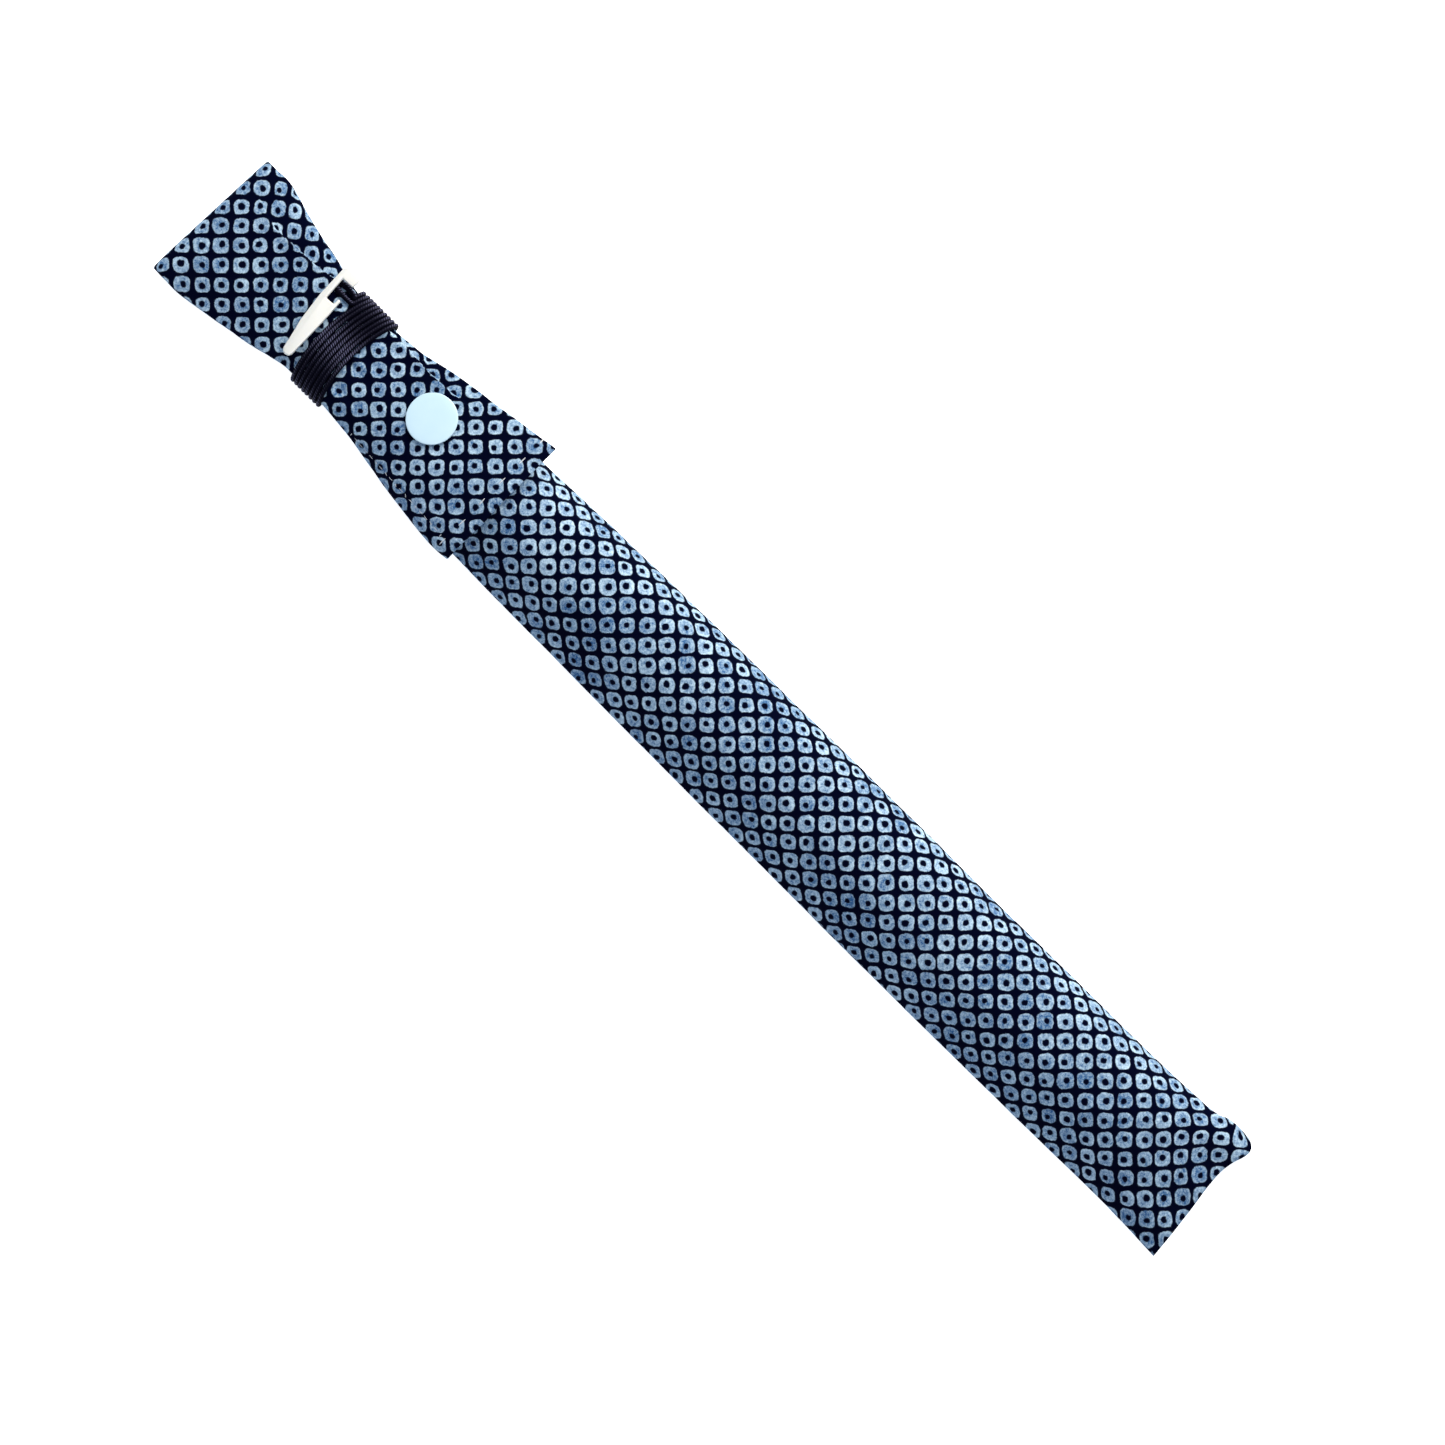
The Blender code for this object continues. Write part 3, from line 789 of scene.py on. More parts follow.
def clothRing(line, count, topFirst):
    # evenly spaced points round a section, and each one's way round from the cloth's centre line
    ring, at, total = spread(line, count)
    arc = arcAlong(line)
    if topFirst:
        top = slice(0, ovalPoints)
        return ring, np.append(at, total) - np.interp(cloth["centreLine"], line[top, 0], arc[top])
    top = slice(ovalPoints - 1, len(line))
    return ring, np.interp(-cloth["centreLine"], -line[top, 0], arc[top]) - np.append(at, total)


def easeIn(sides, inset):  # a layer further in, more so at the narrow side edges
    left, right, low, level, high = sides
    more = inset * cloth["edgeEase"]
    return left + more, right - more, low + inset, level, high - inset


bodyShape = {
    "end": 0.4996,
    "swell": (0.076, 0.074),    # where the body fills out from the neck, and over how far
    "closing": (0.455, 0.045),  # where it flattens to the sewn end, and over how far
    "crest": -0.003,
    # drawn flat and sharp on the left, rounded on the right; flat at the neck and the sewn end
    "neckPower": 6.0,
    "sidePowers": (1.6, 3.9),
    "closingPowers": (0.5, -0.6),
    "rises": (1.0, 1.12),
    "underPower": 4.6,
    "underPowerAtEnd": 2.2,
    "edgeLift": 0.0010,    # the side edges stand a little off the table
    "fullness": 0.0014,    # the free stretch stands a little prouder than its frame
    "ringAt": (0.1642, 0.0057),
    "ringSize": 0.428,
    # how far the sewn edge stands out beyond its plain line, from left to right
    "endLine": [(-0.0290, 0.0027), (-0.0262, 0.0026), (-0.0200, 0.0019), (-0.0050, 0.0002), (0.0056, -0.0014),
                (0.0130, -0.0016), (0.0180, -0.0008), (0.0222, 0.0005), (0.0246, 0.0006), (0.0264, -0.0006),
                (0.0276, -0.0026), (0.0290, -0.0058)],
    "cornerLines": [(0.0265, 0.62), (-0.0262, -0.34)],  # drawn lines from the corners: y at the end, slope
    "creases": [(0.000208, 0.034, 11), (0.000096, 0.013, 12), (0.00004, 0.0052, 13)],
    "gatherSeed": 14,
}


def bodyRing(x, inset=0.0):
    left, right, low, level, high = easeIn(outlineAt(lowerOutline, x), inset)
    along = x - foldX
    swell, closing = [float(softStep((along - bodyShape[name][0]) / bodyShape[name][1]))
                      for name in ("swell", "closing")]
    middle = (left + right) / 2
    crest = between(middle, bodyShape["crest"], swell)
    powers = [between(bodyShape["neckPower"], power, swell) + more * closing
              for power, more in zip(bodyShape["sidePowers"], bodyShape["closingPowers"])]
    rises = [between(2.0, rise, swell) for rise in bodyShape["rises"]]
    flat = between(bodyShape["underPower"], bodyShape["underPowerAtEnd"], closing)
    level += bodyShape["edgeLift"] * swell * (1 - closing)
    high += bodyShape["fullness"] * float(hump(along, 0.175, 0.465, 0.025))
    top = halfOval(left, right, crest, level, high, powers, rises)
    under = halfOval(left, right, crest, level, low, (flat, flat), (flat, flat))[::-1]
    return np.vstack([top, under[1:]])


def bodySkin(start, end, inset=0.0):
    count = int((end - start) / cloth["ringStep"]["body"]) + 1
    n = cloth["columns"]["body"]
    points, uv = np.zeros((count, n, 3)), np.zeros((count, n + 1, 2))
    for i, x in enumerate(np.linspace(start, end, count)):
        points[i, :, 0] = x
        points[i, :, 1:], uv[i, :, 1] = clothRing(bodyRing(x, inset), n, True)
        uv[i, :, 0] = x - foldX
    return points, uv


def shapeBody():
    points, uv = bodySkin(foldX + cloth["joinAt"] - cloth["overlap"], foldX + bodyShape["end"])
    x, y, z = points[..., 0], points[..., 1], points[..., 2]
    u, v = uv[:, :-1, 0], uv[:, :-1, 1]
    along = x - foldX
    normals = surfaceNormals(points)
    lift = crumple(u, v, bodyShape["creases"])
    for cornerY, slope in bodyShape["cornerLines"]:
        fromEnd = 0.497 - along
        reach = np.clip(fromEnd / 0.055, 0, 1)
        away = (y - (cornerY - slope * fromEnd)) / 0.0042
        lift += 0.00055 * np.exp(-away ** 2) * reach * (1 - reach) * 4 * (z > 0.003)
    lift += gather(x, u, v, bodyShape["gatherSeed"]) * (along < 0.11)
    grounded = softStep((z - 0.0004) / 0.0022)
    points = points + normals * (lift * grounded)[..., None]
    # the sewn edge isn't straight: its left corner stands out and its right one is rounded off
    closing = softStep((along - 0.462) / 0.038)
    points[..., 0] += closing * smoothThrough(points[..., 1], *np.array(bodyShape["endLine"]).T)
    wave = 0.0006 * np.sin(y * 2 * math.pi / 0.019 + 0.8)
    points[..., 2] += closing * wave * softStep((along - 0.475) / 0.02)
    points[..., 2] = np.maximum(points[..., 2], cloth["offTable"])
    ringU, ringY = bodyShape["ringAt"]
    uv[..., 0], uv[..., 1] = anchorUv(uv[..., 0], uv[..., 1], ringU, ringY - cloth["centreLine"])
    return clothTube("bodyCloth", points, thicken(points, cloth["wall"]), uv, materials["print"],
                     closeEnd=True, ringSize=bodyShape["ringSize"])


foldZ = 0.00585  # height of the fold's middle
headShape = {
    "foldRings": 16,
    "foldReach": 0.0055,   # where the fold's half turn starts, along the case
    "foldDepth": 0.0068,
    "foldRun": 0.0040,     # the cloth that the half turn takes up beyond its reach
    "foldSlant": 0.0012,
    "innerPower": 6.0,
    "underPower": 4.6,
    "underPowerAtNeck": 2.6,
    "topPowers": (1.4, 2.3),
    "topRises": (1.1, 2.0),
    "crestShift": 0.0060,  # the cloth is fullest a little right of the middle
    "fullness": 0.0012,
    "ringAt": (0.0153, -0.0002),
    "ringSize": 0.405,
    "creases": [(0.00030, 0.017, 21), (0.00014, 0.0075, 22), (0.00006, 0.0034, 23)],
    "gatherSeed": 24,
    "pleat": [(0.003, 0.0180, 0.0, 0.0), (0.008, 0.0162, 0.0002, 0.0003), (0.014, 0.0141, 0.0005, 0.0010),
              (0.020, 0.0129, 0.0009, 0.0022), (0.0285, 0.0130, 0.0012, 0.0036),
              (0.0395, 0.0136, 0.0012, 0.0046), (0.047, 0.0148, 0.0009, 0.0050),
              (0.058, 0.0150, 0.0007, 0.0050)],
}


def headRing(x, upper, inset=0.0):
    sides = outlineAt(upperOutline if upper else lowerOutline, x)
    left, right, low, level, high = easeIn(sides, inset)
    middle = (left + right) / 2
    flatPowers = (headShape["innerPower"], headShape["innerPower"])
    if upper:
        inner = halfOval(left, right, middle, level, low, flatPowers, flatPowers)
        crest = middle + headShape["crestShift"]
        high += headShape["fullness"] * float(hump(x - foldX, 0.014, 0.040, 0.014))
        outer = halfOval(left, right, crest, level, high, headShape["topPowers"], headShape["topRises"])
    else:
        inner = halfOval(left, right, middle, level, high, flatPowers, (2.0, 2.0))
        gathered = float(hump(x - foldX, 0.056, 0.080, 0.022))
        under = between(headShape["underPower"], headShape["underPowerAtNeck"], gathered)
        outer = halfOval(left, right, middle, level, low, (under, under), (under, under))
    return np.vstack([inner, outer[::-1][1:]])


def headSkin(inset=0.0, ringStep=cloth["ringStep"]["head"]):
    # along the lower run, round the fold and back along the upper run; also the upper run's first row
    n = cloth["columns"]["head"]
    foldAt = foldX + headShape["foldReach"]
    end = foldX + cloth["joinAt"] + cloth["overlap"]
    straight = np.linspace(end, foldAt, int((end - foldAt) / ringStep) + 1)
    rings, uvs = [], []

    def addRing(x, ring, u, v):
        rings.append(np.column_stack([np.full(n, x), ring]))
        uvs.append(np.column_stack([np.full(n + 1, u), v]))

    for x in straight:
        ring, v = clothRing(headRing(x, False, inset), n, False)
        addRing(x, ring, -(x - foldX) - headShape["foldRun"], v)
    lowRing, lowV = clothRing(headRing(foldAt, False, inset), n, False)
    highRing, highV = clothRing(headRing(foldAt, True, inset), n, False)
    halfTurn = headShape["foldReach"] + headShape["foldRun"]
    for k in range(1, headShape["foldRings"]):
        part = k / headShape["foldRings"]
        turn, share = math.pi * part, softStep(part)
        radius = between(foldZ - lowRing[:, 1], highRing[:, 1] - foldZ, share)
        radius = np.maximum(radius, 0.00022 + 0.4 * inset)
        reach = (headShape["foldDepth"] - inset) * (1 - (1 - np.clip(radius / radius.max(), 0, 1)) ** 3)
        across = between(lowRing[:, 0], highRing[:, 0], share)
        ring = np.column_stack([across, foldZ - np.cos(turn) * radius])
        addRing(foldAt - np.sin(turn) * reach, ring, halfTurn * (2 * part - 1), between(lowV, highV, share))
    for x in straight[::-1]:
        ring, v = clothRing(headRing(x, True, inset), n, False)
        addRing(x, ring, (x - foldX) + headShape["foldRun"], v)
    return np.array(rings), np.array(uvs), len(straight) + headShape["foldRings"] - 1


def slantFold(points):  # the fold's line runs a little askew
    slant = headShape["foldSlant"] * (points[..., 1] / 0.0278)
    points[..., 0] += slant * (1 - softStep((points[..., 0] - foldX) / 0.022))


def shapeHead():
    points, uv, upperStart = headSkin()
    x, y, z = points[..., 0], points[..., 1], points[..., 2]
    u, v = uv[:, :-1, 0], uv[:, :-1, 1]
    along = x - foldX
    normals = surfaceNormals(points)
    onTop = softStep((normals[..., 2] - 0.05) / 0.4) * (z > foldZ)
    fromFold = np.abs(z - foldZ)  # where the two runs lie on each other, they stay smooth
    lift = crumple(u, v, headShape["creases"]) * softStep((fromFold - 0.0012) / 0.002)
    lift += gather(x, u, v, headShape["gatherSeed"]) * softStep((fromFold - 0.001) / 0.002)
    height, hidden = pleat(headShape["pleat"], x, y)
    lift += height * onTop
    # a soft swell beside the left edge
    swell = np.exp(-((y + 0.016 - 0.10 * along) / 0.006) ** 2) * hump(along, 0.012, 0.036, 0.012)
    lift += 0.0005 * swell * onTop
    lift *= np.where(z < 0.001, 0.0, 1.0)
    points = points + normals * lift[..., None]
    slantFold(points)
    points[..., 2] = np.maximum(points[..., 2], cloth["offTable"])
    shiftPrint(points, uv, hidden, range(upperStart, len(points)))
    ringU, ringV = headShape["ringAt"][0] + headShape["foldRun"], headShape["ringAt"][1] - cloth["centreLine"]
    uv[..., 0], uv[..., 1] = anchorUv(uv[..., 0], uv[..., 1], ringU, ringV)
    return clothTube("headCloth", points, thicken(points, cloth["wall"]), uv, materials["print"],
                     ringSize=headShape["ringSize"])


# running stitches along the hem and the seam, placed by a node tree on a guide line
stitches = {
    "hem": {"pitch": 0.0094, "length": 0.0034, "radius": 0.00021},
    "sideSeam": {"pitch": 0.0027, "length": 0.0020, "radius": 0.00014},
    "hemAcross": (-0.0245, 0.0262),
    "seamAlong": (0.090, 0.1395),
    "hemLift": 0.00004,
    "seamLift": -0.00002,
}


tongueShape = {
    "neckEnd": 0.0765,     # up to here the winding holds it to the neck's shape
    "mouth": 0.1464,
    "hem": 0.0052,
    "hemWall": 0.0010,
    "camber": 0.0014,
    "droop": (0.0056, 0.0002),  # how far the left and right edges hang lower
    "innerPower": 6.0,
    "outerPowers": (2.9, 5.0),  # at the winding, and where it has opened out
    "ringAt": (0.0864, 0.0080),
    "ringSize": 0.410,
    "creases": [(0.00026, 0.019, 31), (0.00012, 0.008, 32), (0.00005, 0.0036, 33)],
    "gatherSeed": 34,
    "edgeSeed": 35,
    "pleat": [(0.066, 0.0150, 0.0006, 0.0040), (0.080, 0.0158, 0.0010, 0.0038),
              (0.094, 0.0150, 0.0011, 0.0030), (0.104, 0.0154, 0.0008, 0.0018),
              (0.114, 0.0165, 0.0003, 0.0006), (0.125, 0.0180, 0.0, 0.0)],
    "seam": [(0.080, -0.0190), (0.0957, -0.0208), (0.1414, -0.0233)],
}


def tongueRing(x, inset=0.0):
    x = max(x, foldX + tongueShape["neckEnd"])
    left, right, low, level, high = easeIn(outlineAt(tongueOutline, x), inset)
    openOut = float(softStep((x - foldX - 0.076) / 0.024))
    camber = tongueShape["camber"] * openOut
    middle = (left + right) / 2
    low += camber * 0.55
    level += camber
    flatPowers = (tongueShape["innerPower"], tongueShape["innerPower"])
    power = between(*tongueShape["outerPowers"], openOut)
    inner = halfOval(left, right, middle, level, low, flatPowers, flatPowers)
    outer = halfOval(left, right, middle, level, high, (power, power), (2.0, 2.0))
    line = np.vstack([inner, outer[::-1][1:]])
    across = (line[:, 0] - middle) / ((right - left) / 2)
    droop = np.where(across < 0, *tongueShape["droop"]) * openOut
    line[:, 1] -= (camber + droop) * across ** 2
    return line


def tongueSkin(start, end, inset=0.0):
    n = cloth["columns"]["tongue"]
    neckEnd = foldX + tongueShape["neckEnd"]
    count = int((end - start) / cloth["ringStep"]["tongue"]) + 1
    points, uv = np.zeros((count, n, 3)), np.zeros((count, n + 1, 2))
    for i, x in enumerate(np.linspace(start, end, count)):
        line = tongueRing(x, inset)
        if x < neckEnd:
            line = between(line, headRing(x, True, inset), float(softStep((neckEnd - x) / 0.006)))
        points[i, :, 0] = x
        points[i, :, 1:], uv[i, :, 1] = clothRing(line, n, False)
    crestLine = points[:, n * 3 // 4, ::2]  # along the middle of the top, in x and z
    uv[:, :, 0] = (start - foldX + arcAlong(crestLine))[:, None]
    return points, uv


def shapeTongue():
    start = foldX + cloth["joinAt"] - cloth["overlap"]
    points, uv = tongueSkin(start, foldX + tongueShape["mouth"] - 0.0003)
    x, y, z = points[..., 0], points[..., 1], points[..., 2]
    u, v = uv[:, :-1, 0], uv[:, :-1, 1]
    along = x - foldX
    normals = surfaceNormals(points)
    onTop = softStep((normals[..., 2] - 0.05) / 0.4)
    lift = crumple(u, v, tongueShape["creases"]) * np.where(normals[..., 2] < 0, 0.3, 1.0)
    lift += gather(x, u, v, tongueShape["gatherSeed"])
    height, hidden = pleat(tongueShape["pleat"], x, y)
    lift += height * onTop
    seamY = np.interp(along, *np.array(tongueShape["seam"]).T)
    inSeam = np.exp(-((y - seamY) / 0.0005) ** 2) * hump(along, 0.084, 0.141, 0.012)
    lift -= 0.00035 * inSeam * onTop
    # the hem's turned edge shows as a low step along its stitches, dimpled at each stitch
    hemLine = tongueShape["mouth"] - tongueShape["hem"]
    lift += 0.00022 * softStep((along - hemLine) / 0.0012 + 0.5) * onTop
    puckers = 0.55 + 0.45 * np.cos((y + 0.002) * 2 * math.pi / stitches["hem"]["pitch"])
    lift -= 0.00022 * np.exp(-((along - hemLine) / 0.0016) ** 2) * puckers * onTop
    points = points + normals * lift[..., None]
    # the mouth's edge wavers a little
    edge = softStep((along - 0.120) / 0.026)
    points[..., 0] += edge * 0.0007 * cloudNoise(y, z * 0.3, 0.011, tongueShape["edgeSeed"])
    points[..., 2] += edge * 0.0005 * np.sin(y * 2 * math.pi / 0.031 + 0.6) * (onTop > 0)
    shiftPrint(points, uv, hidden, range(len(points)))
    ringAlong, ringY = tongueShape["ringAt"]
    row = int(np.argmin(np.abs(points[:, 0, 0] - foldX - ringAlong)))
    firstColumn = points.shape[1] * 3 // 5  # past the underside and the left edge
    column = firstColumn + int(np.argmin(np.abs(points[row, firstColumn:, 1] - ringY)))
    uv[..., 0], uv[..., 1] = anchorUv(uv[..., 0], uv[..., 1], *uv[row, column])
    wall = np.where(points[:, 0, 0] - foldX > hemLine, tongueShape["hemWall"], cloth["wall"])
    wall = np.convolve(np.pad(wall, 1, "edge"), np.ones(3) / 3, "valid")
    piece = clothTube("tongueCloth", points, thicken(points, wall), uv, materials["print"],
                      ringSize=tongueShape["ringSize"])
    return piece, points


def stitchTree(material):
    tree = bpy.data.node_groups.new("runningStitches", "GeometryNodeTree")
    tree.interface.new_socket("Geometry", in_out="INPUT", socket_type="NodeSocketGeometry")
    for label in ("Pitch", "Length", "Radius"):
        tree.interface.new_socket(label, in_out="INPUT", socket_type="NodeSocketFloat")
    tree.interface.new_socket("Geometry", in_out="OUTPUT", socket_type="NodeSocketGeometry")
    nodes, links = tree.nodes, tree.links
    start = nodes.new("NodeGroupInput")
    end = nodes.new("NodeGroupOutput")
    toCurve = nodes.new("GeometryNodeMeshToCurve")
    links.new(start.outputs["Geometry"], toCurve.inputs["Mesh"])
    points = nodes.new("GeometryNodeCurveToPoints")
    points.mode = "LENGTH"
    links.new(toCurve.outputs["Curve"], points.inputs["Curve"])
    links.new(start.outputs["Pitch"], points.inputs["Length"])
    # one stitch is a smooth ball, stretched along the guide
    ball = nodes.new("GeometryNodeMeshUVSphere")
    ball.inputs["Segments"].default_value = 8
    ball.inputs["Rings"].default_value = 6
    ball.inputs["Radius"].default_value = 1.0
    smooth = nodes.new("GeometryNodeSetShadeSmooth")
    links.new(ball.outputs["Mesh"], smooth.inputs["Geometry"])
    half = nodes.new("ShaderNodeMath")
    half.operation = "MULTIPLY"
    half.inputs[1].default_value = 0.5
    links.new(start.outputs["Length"], half.inputs[0])
    size = nodes.new("ShaderNodeCombineXYZ")
    links.new(start.outputs["Radius"], size.inputs[0])
    links.new(start.outputs["Radius"], size.inputs[1])
    links.new(half.outputs[0], size.inputs[2])
    align = nodes.new("FunctionNodeAlignRotationToVector")
    align.axis = "Z"
    links.new(points.outputs["Tangent"], align.inputs["Vector"])
    place = nodes.new("GeometryNodeInstanceOnPoints")
    links.new(points.outputs["Points"], place.inputs["Points"])
    links.new(smooth.outputs["Geometry"], place.inputs["Instance"])
    links.new(align.outputs["Rotation"], place.inputs["Rotation"])
    links.new(size.outputs[0], place.inputs["Scale"])
    realize = nodes.new("GeometryNodeRealizeInstances")
    links.new(place.outputs["Instances"], realize.inputs["Geometry"])
    paint = nodes.new("GeometryNodeSetMaterial")
    paint.inputs["Material"].default_value = material
    links.new(realize.outputs["Geometry"], paint.inputs["Geometry"])
    links.new(paint.outputs["Geometry"], end.inputs["Geometry"])
    return tree


def runStitches(name, guidePoints, setup, tree):
    mesh = bpy.data.meshes.new(name + "Guide")
    mesh.from_pydata([tuple(p) for p in guidePoints], [(i, i + 1) for i in range(len(guidePoints) - 1)], [])
    guide = addPiece(name + "Guide", mesh)
    modifier = guide.modifiers.new("stitches", "NODES")
    modifier.node_group = tree
    for item in tree.interface.items_tree:
        if item.in_out == "INPUT" and item.name in ("Pitch", "Length", "Radius"):
            modifier[item.identifier] = setup[item.name.lower()]
    bpy.context.view_layer.update()
    evaluated = guide.evaluated_get(bpy.context.evaluated_depsgraph_get())
    done = bpy.data.meshes.new_from_object(evaluated)
    bpy.data.objects.remove(guide)
    return addPiece(name, done)


def topLine(points, along, low, high, lift):
    # points on the mouth part's top face at one place along it, from low to high across it
    row = int(np.argmin(np.abs(points[:, points.shape[1] * 3 // 4, 0] - (foldX + along))))
    ring = points[row]
    top = ring[np.argmax(ring[:, 1]):]
    ys = np.linspace(low, high, 160)
    x, z = [np.interp(-ys, -top[:, 1], top[:, k]) for k in (0, 2)]
    return np.column_stack([x, ys, z + lift])


def makeStitches(points, setup):
    tree = stitchTree(materials["thread"])
    hemLine = tongueShape["mouth"] - tongueShape["hem"]
    hem = topLine(points, hemLine, *setup["hemAcross"], setup["hemLift"])
    seam = []
    for along in np.linspace(*setup["seamAlong"], 60):
        y = float(np.interp(along, *np.array(tongueShape["seam"]).T))
        seam.append(topLine(points, along, y, y + 0.0001, setup["seamLift"])[0])
    for name, guidePoints in (("hem", hem), ("sideSeam", seam)):
        piece = runStitches(name + "Stitches", guidePoints, setup[name], tree)
        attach(piece, "tongue")


body = shapeBody()
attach(body, "case")
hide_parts("body_shell", "neck_lower_shell")
print("body cloth made")

head = shapeHead()
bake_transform(head)
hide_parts("head_lower_shell", "head_upper_shell", "neck_upper_shell")
print("head cloth made")

tongue, tonguePoints = shapeTongue()
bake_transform(tongue)
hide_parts("tongue_shell", "mouth_hem_facing")
print("tongue cloth made")

makeStitches(tonguePoints, stitches)
print("stitches made")


linings = {
    "inset": 0.0009,
    "wall": 0.0004,
    "bodyAlong": (0.0725, 0.487),
    "headRingStep": 0.003,
    "tongueStart": 0.0830,
    "shortOfMouth": 0.0050,
    "tongueInsets": (0.0007, 0.0010),
}


def makeLinings(setup):
    inset, deeper = setup["inset"], setup["inset"] + setup["wall"]
    start, end = [foldX + along for along in setup["bodyAlong"]]
    outer, uv = bodySkin(start, end, inset)
    inner = bodySkin(start, end, deeper)[0]
    bodyLining = clothTube("bodyLining", outer[::2], inner[::2], uv[::2], materials["lining"], closeEnd=True)
    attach(bodyLining, "case")
    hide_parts("body_lining", "neck_lower_lining")
    outer, uv = headSkin(inset, setup["headRingStep"])[:2]
    inner = headSkin(deeper, setup["headRingStep"])[0]
    slantFold(outer)
    slantFold(inner)
    headLining = clothTube("headLining", outer[1:-1], inner[1:-1], uv[1:-1], materials["lining"])
    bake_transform(headLining)
    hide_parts("head_lower_lining", "head_upper_lining", "neck_upper_lining")
    start, end = foldX + setup["tongueStart"], foldX + tongueShape["mouth"] - setup["shortOfMouth"]
    outer, uv = tongueSkin(start, end, setup["tongueInsets"][0])
    inner = tongueSkin(start, end, setup["tongueInsets"][1])[0]
    tongueLining = clothTube("tongueLining", outer, inner, uv, materials["lining"])
    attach(tongueLining, "tongue")
    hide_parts("tongue_lining")


makeLinings(linings)
print("linings made")


turnedEdges = {
    "side": {"start": 0.113, "end": 0.476, "near": 0.0023, "width": 0.0031, "height": 0.0021},
    "bottom": {"start": -0.0212, "end": 0.0212, "near": 0.2386, "width": 0.0066, "height": 0.0018},
    "layers": 0.0007,      # both layers of the seam together
    "step": 0.002,
    "ringSize": 0.42,
}


def makeTurnedEdges(setup):
    for name in ("side", "bottom"):
        run = setup[name]
        steps = int((run["end"] - run["start"]) / setup["step"])
        at = np.linspace(run["start"], run["end"], steps)
        fray = 0.0002 * np.sin(at * 2 * math.pi / 0.0083) + 0.00012 * np.sin(at * 2 * math.pi / 0.0031)
        vertices, uvs = [], []
        for place, ragged in zip(at, fray):
            edge = outlineAt(lowerOutline, foldX + place)[0] + run["near"] if name == "side" else run["near"]
            for across, up in ((0, -0.5), (1, -0.5), (1, 0.5), (0, 0.5)):
                z = run["height"] + up * setup["layers"]
                other = edge + across * (run["width"] + ragged)
                vertices.append((foldX + place, other, z) if name == "side" else (other, place, z))
        faces = []
        for i in range(steps - 1):
            for k in range(4):
                faces.append((i * 4 + k, i * 4 + (k + 1) % 4, i * 4 + 4 + (k + 1) % 4, i * 4 + 4 + k))
        faces += [(0, 3, 2, 1), tuple(steps * 4 - 4 + k for k in range(4))]
        for face in faces:
            uvs += [vertices[k][:2] for k in face]
        piece = addMesh(name + "SeamEdge", vertices, faces, uvs, materials["print"], smooth=False)
        faceOutwards(piece.data)
        markRings(piece, setup["ringSize"])
        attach(piece, "case")
        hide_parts(name + "_seam_allowance")


makeTurnedEdges(turnedEdges)
print("seam edges made")


claw = {
    "edge": 0.00055,
    "steps": 3,
    "mergeWithin": 0.00002,
}


def makeClaw(setup):
    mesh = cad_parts["claw"].data.copy()
    mesh.name = "clawBody"
    form = bmesh.new()
    form.from_mesh(mesh)
    bmesh.ops.remove_doubles(form, verts=form.verts, dist=setup["mergeWithin"])
    bmesh.ops.dissolve_limit(form, angle_limit=math.radians(1), verts=form.verts, edges=form.edges)
    form.to_mesh(mesh)
    form.free()
    faceOutwards(mesh)
    mesh.materials.clear()
    mesh.materials.append(materials["claw"])
    mesh.shade_smooth()
    piece = addPiece("clawBody", mesh)
    bevel = piece.modifiers.new("softEdge", "BEVEL")
    bevel.width = setup["edge"]
    bevel.segments = setup["steps"]
    bevel.limit_method = "ANGLE"
    bevel.angle_limit = math.radians(50)
    bevel.harden_normals = True
    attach(piece, "claw")
    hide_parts("claw")


makeClaw(claw)
print("claw made")


badge = {
    "radius": 0.0095,
    "edge": 0.00035,
    "rise": 0.00025,
    "segments": 96,
}


def badgeOutline(setup, half):  # from the middle of its slightly domed face, over the rim, to the back
    radius, edge, rise = setup["radius"], setup["edge"], setup["rise"]
    outline = [(radius * k / 6, half - rise * (k / 6) ** 3) for k in range(6)]
    for turn in np.linspace(0, math.pi / 2, 6):
        outline.append((radius - edge + edge * math.sin(turn), half - rise - edge + edge * math.cos(turn)))
    return outline + [(radius - 0.0001, -half), (0.0, -half)]


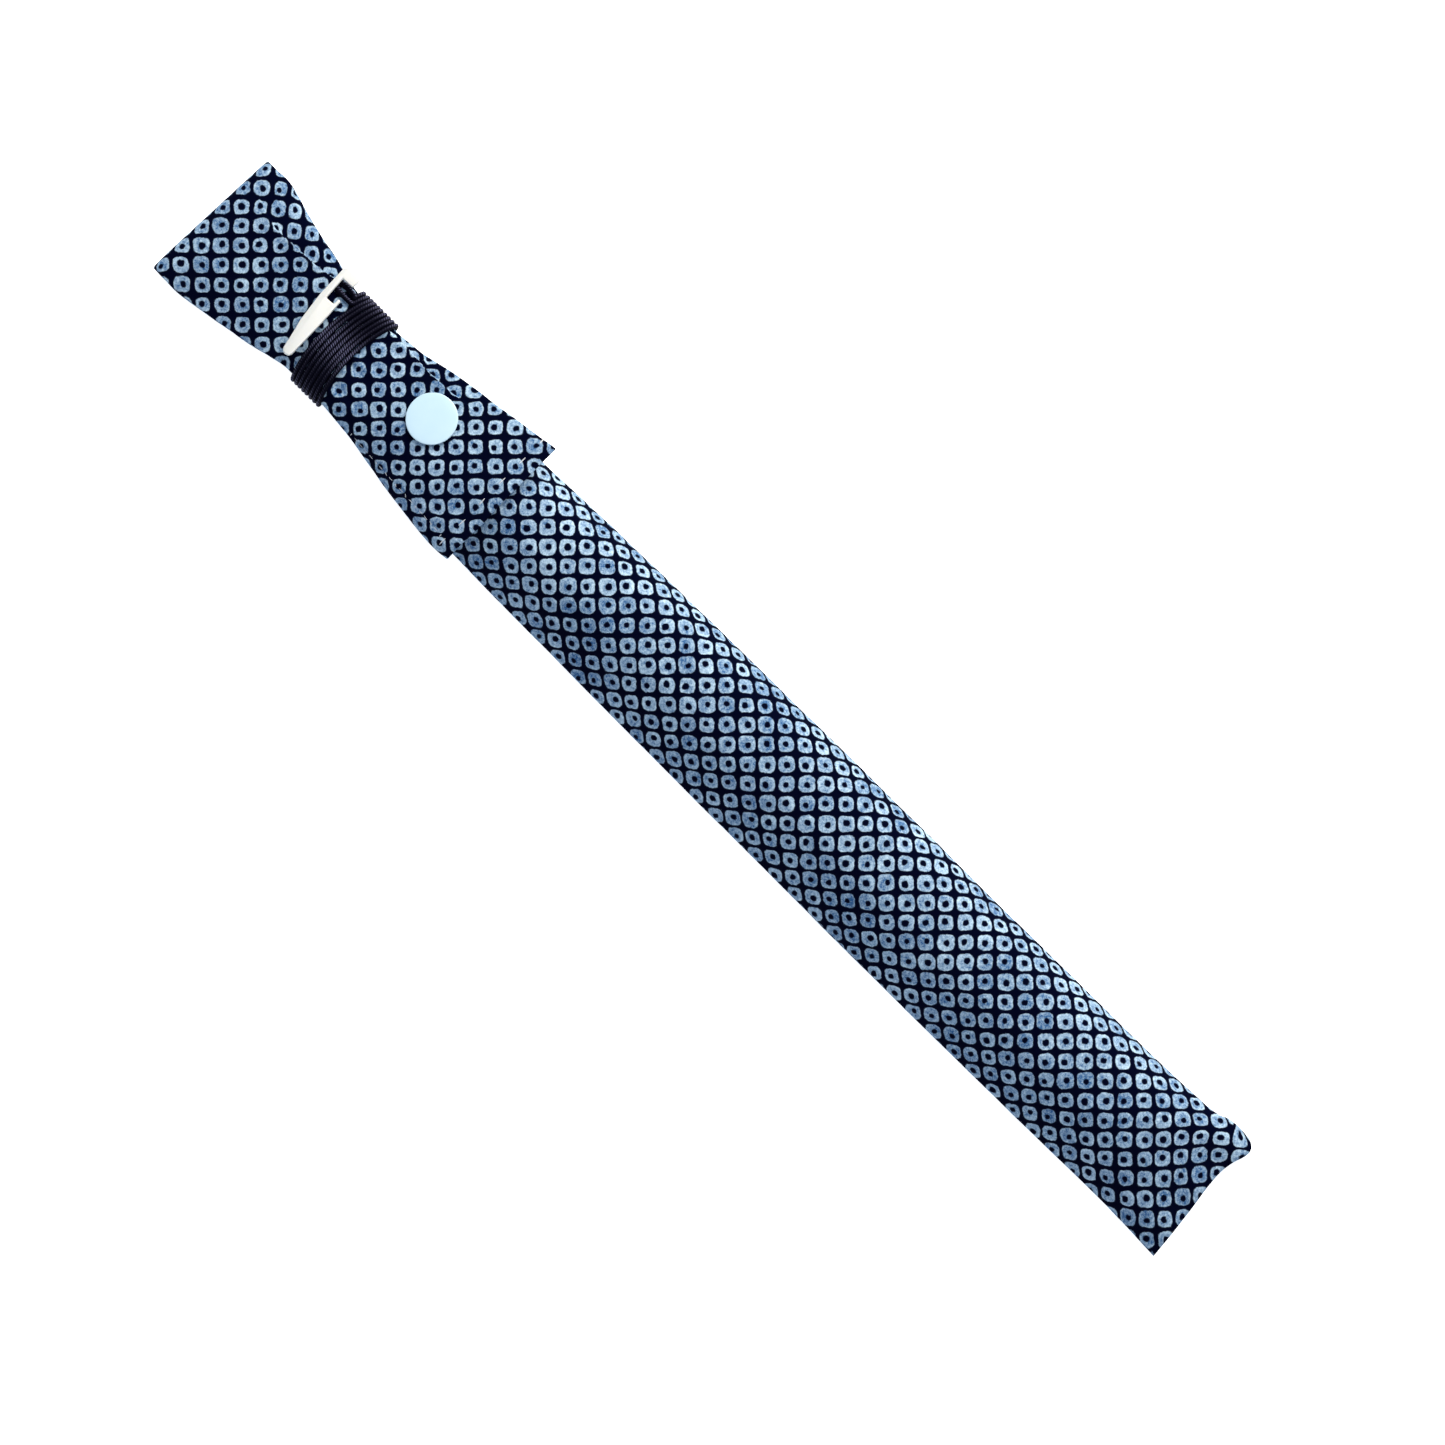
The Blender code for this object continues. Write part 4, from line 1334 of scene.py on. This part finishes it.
def makeBadge(setup):
    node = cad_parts["disc_badge"]
    points = np.empty(len(node.data.vertices) * 3)
    node.data.vertices.foreach_get("co", points)
    points = points.reshape(-1, 3)
    centre = (points.min(0) + points.max(0)) / 2
    axes = np.linalg.svd(points - points.mean(0), full_matrices=False)[2]
    normal = Vector(axes[2]) if axes[2][2] > 0 else -Vector(axes[2])
    thick = float(np.ptp((points - centre) @ np.array(normal)))
    form = bmesh.new()
    rings = []
    for r, h in badgeOutline(setup, thick / 2):
        angles = np.linspace(0, 2 * math.pi, setup["segments"], endpoint=False) if r else [0.0]
        rings.append([form.verts.new((r * math.cos(a), r * math.sin(a), h)) for a in angles])
    for near, far in zip(rings, rings[1:]):
        for k in range(setup["segments"]):
            k2 = (k + 1) % setup["segments"]
            if len(near) == 1:
                form.faces.new((near[0], far[k], far[k2]))
            elif len(far) == 1:
                form.faces.new((near[k], far[0], near[k2]))
            else:
                form.faces.new((near[k], far[k], far[k2], near[k2]))
    bmesh.ops.recalc_face_normals(form, faces=form.faces)
    mesh = bpy.data.meshes.new("discBadge")
    form.to_mesh(mesh)
    form.free()
    turn = Vector((0, 0, 1)).rotation_difference(normal).to_matrix().to_4x4()
    mesh.transform(Matrix.Translation(Vector(centre)) @ turn)
    mesh.materials.append(materials["badge"])
    mesh.shade_smooth()
    mesh.set_sharp_from_angle(angle=math.radians(60))
    piece = addPiece("discBadge", mesh)
    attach(piece, "tongue")
    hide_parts("disc_badge")


makeBadge(badge)
print("badge made")


studio = {
    "floor": (0.97, 0.97, 0.97),
    "floorSize": 40,
    "floorGlow": 0.8,      # a lit table, almost no shadow
    "world": 0.37,
    "worldTint": (0.80, 0.97, 1.26),   # cool light from all round, a slightly warm lamp
    # a light's place is to the right, up the view and above the table
    "keyLight": {"place": (0.78, 1.32, 1.15), "power": 64.0, "size": 1.5, "tint": (1.08, 1.01, 0.90)},
    "fillLight": {"place": (0.0, 0.0, 2.2), "power": 6.0, "size": 2.0, "tint": (1, 1, 1)},
}


def makeFloor(setup):
    bpy.ops.mesh.primitive_plane_add(size=setup["floorSize"], location=(0, 0, -0.0001))
    floor = bpy.context.object
    floor.name = "studioFloor"
    material, _, shader = newMaterial("paleFloor")
    shader.inputs["Base Color"].default_value = (*setup["floor"], 1)
    shader.inputs["Roughness"].default_value = 0.9
    shader.inputs["Specular IOR Level"].default_value = 0.1
    shader.inputs["Emission Color"].default_value = (1, 1, 1, 1)
    shader.inputs["Emission Strength"].default_value = setup["floorGlow"]
    floor.data.materials.append(material)


def makeLights(setup):
    world = bpy.data.worlds.new("studioWorld")
    world.use_nodes = True
    world.node_tree.nodes["Background"].inputs[0].default_value = (*setup["worldTint"], 1)
    world.node_tree.nodes["Background"].inputs[1].default_value = setup["world"]
    scene.world = world
    for name in ("keyLight", "fillLight"):
        lamp = setup[name]
        rightward, upward, above = lamp["place"]
        place = pictureRight * rightward + pictureUp * upward + Vector((0, 0, above))
        data = bpy.data.lights.new(name, "AREA")
        data.energy = lamp["power"]
        data.color = lamp["tint"]
        data.size = lamp["size"]
        light = bpy.data.objects.new(name, data)
        light.location = place
        light.rotation_mode = "QUATERNION"
        light.rotation_quaternion = (-place).to_track_quat("-Z", "Y")
        scene.collection.objects.link(light)


makeFloor(studio)
makeLights(studio)
print("studio made")
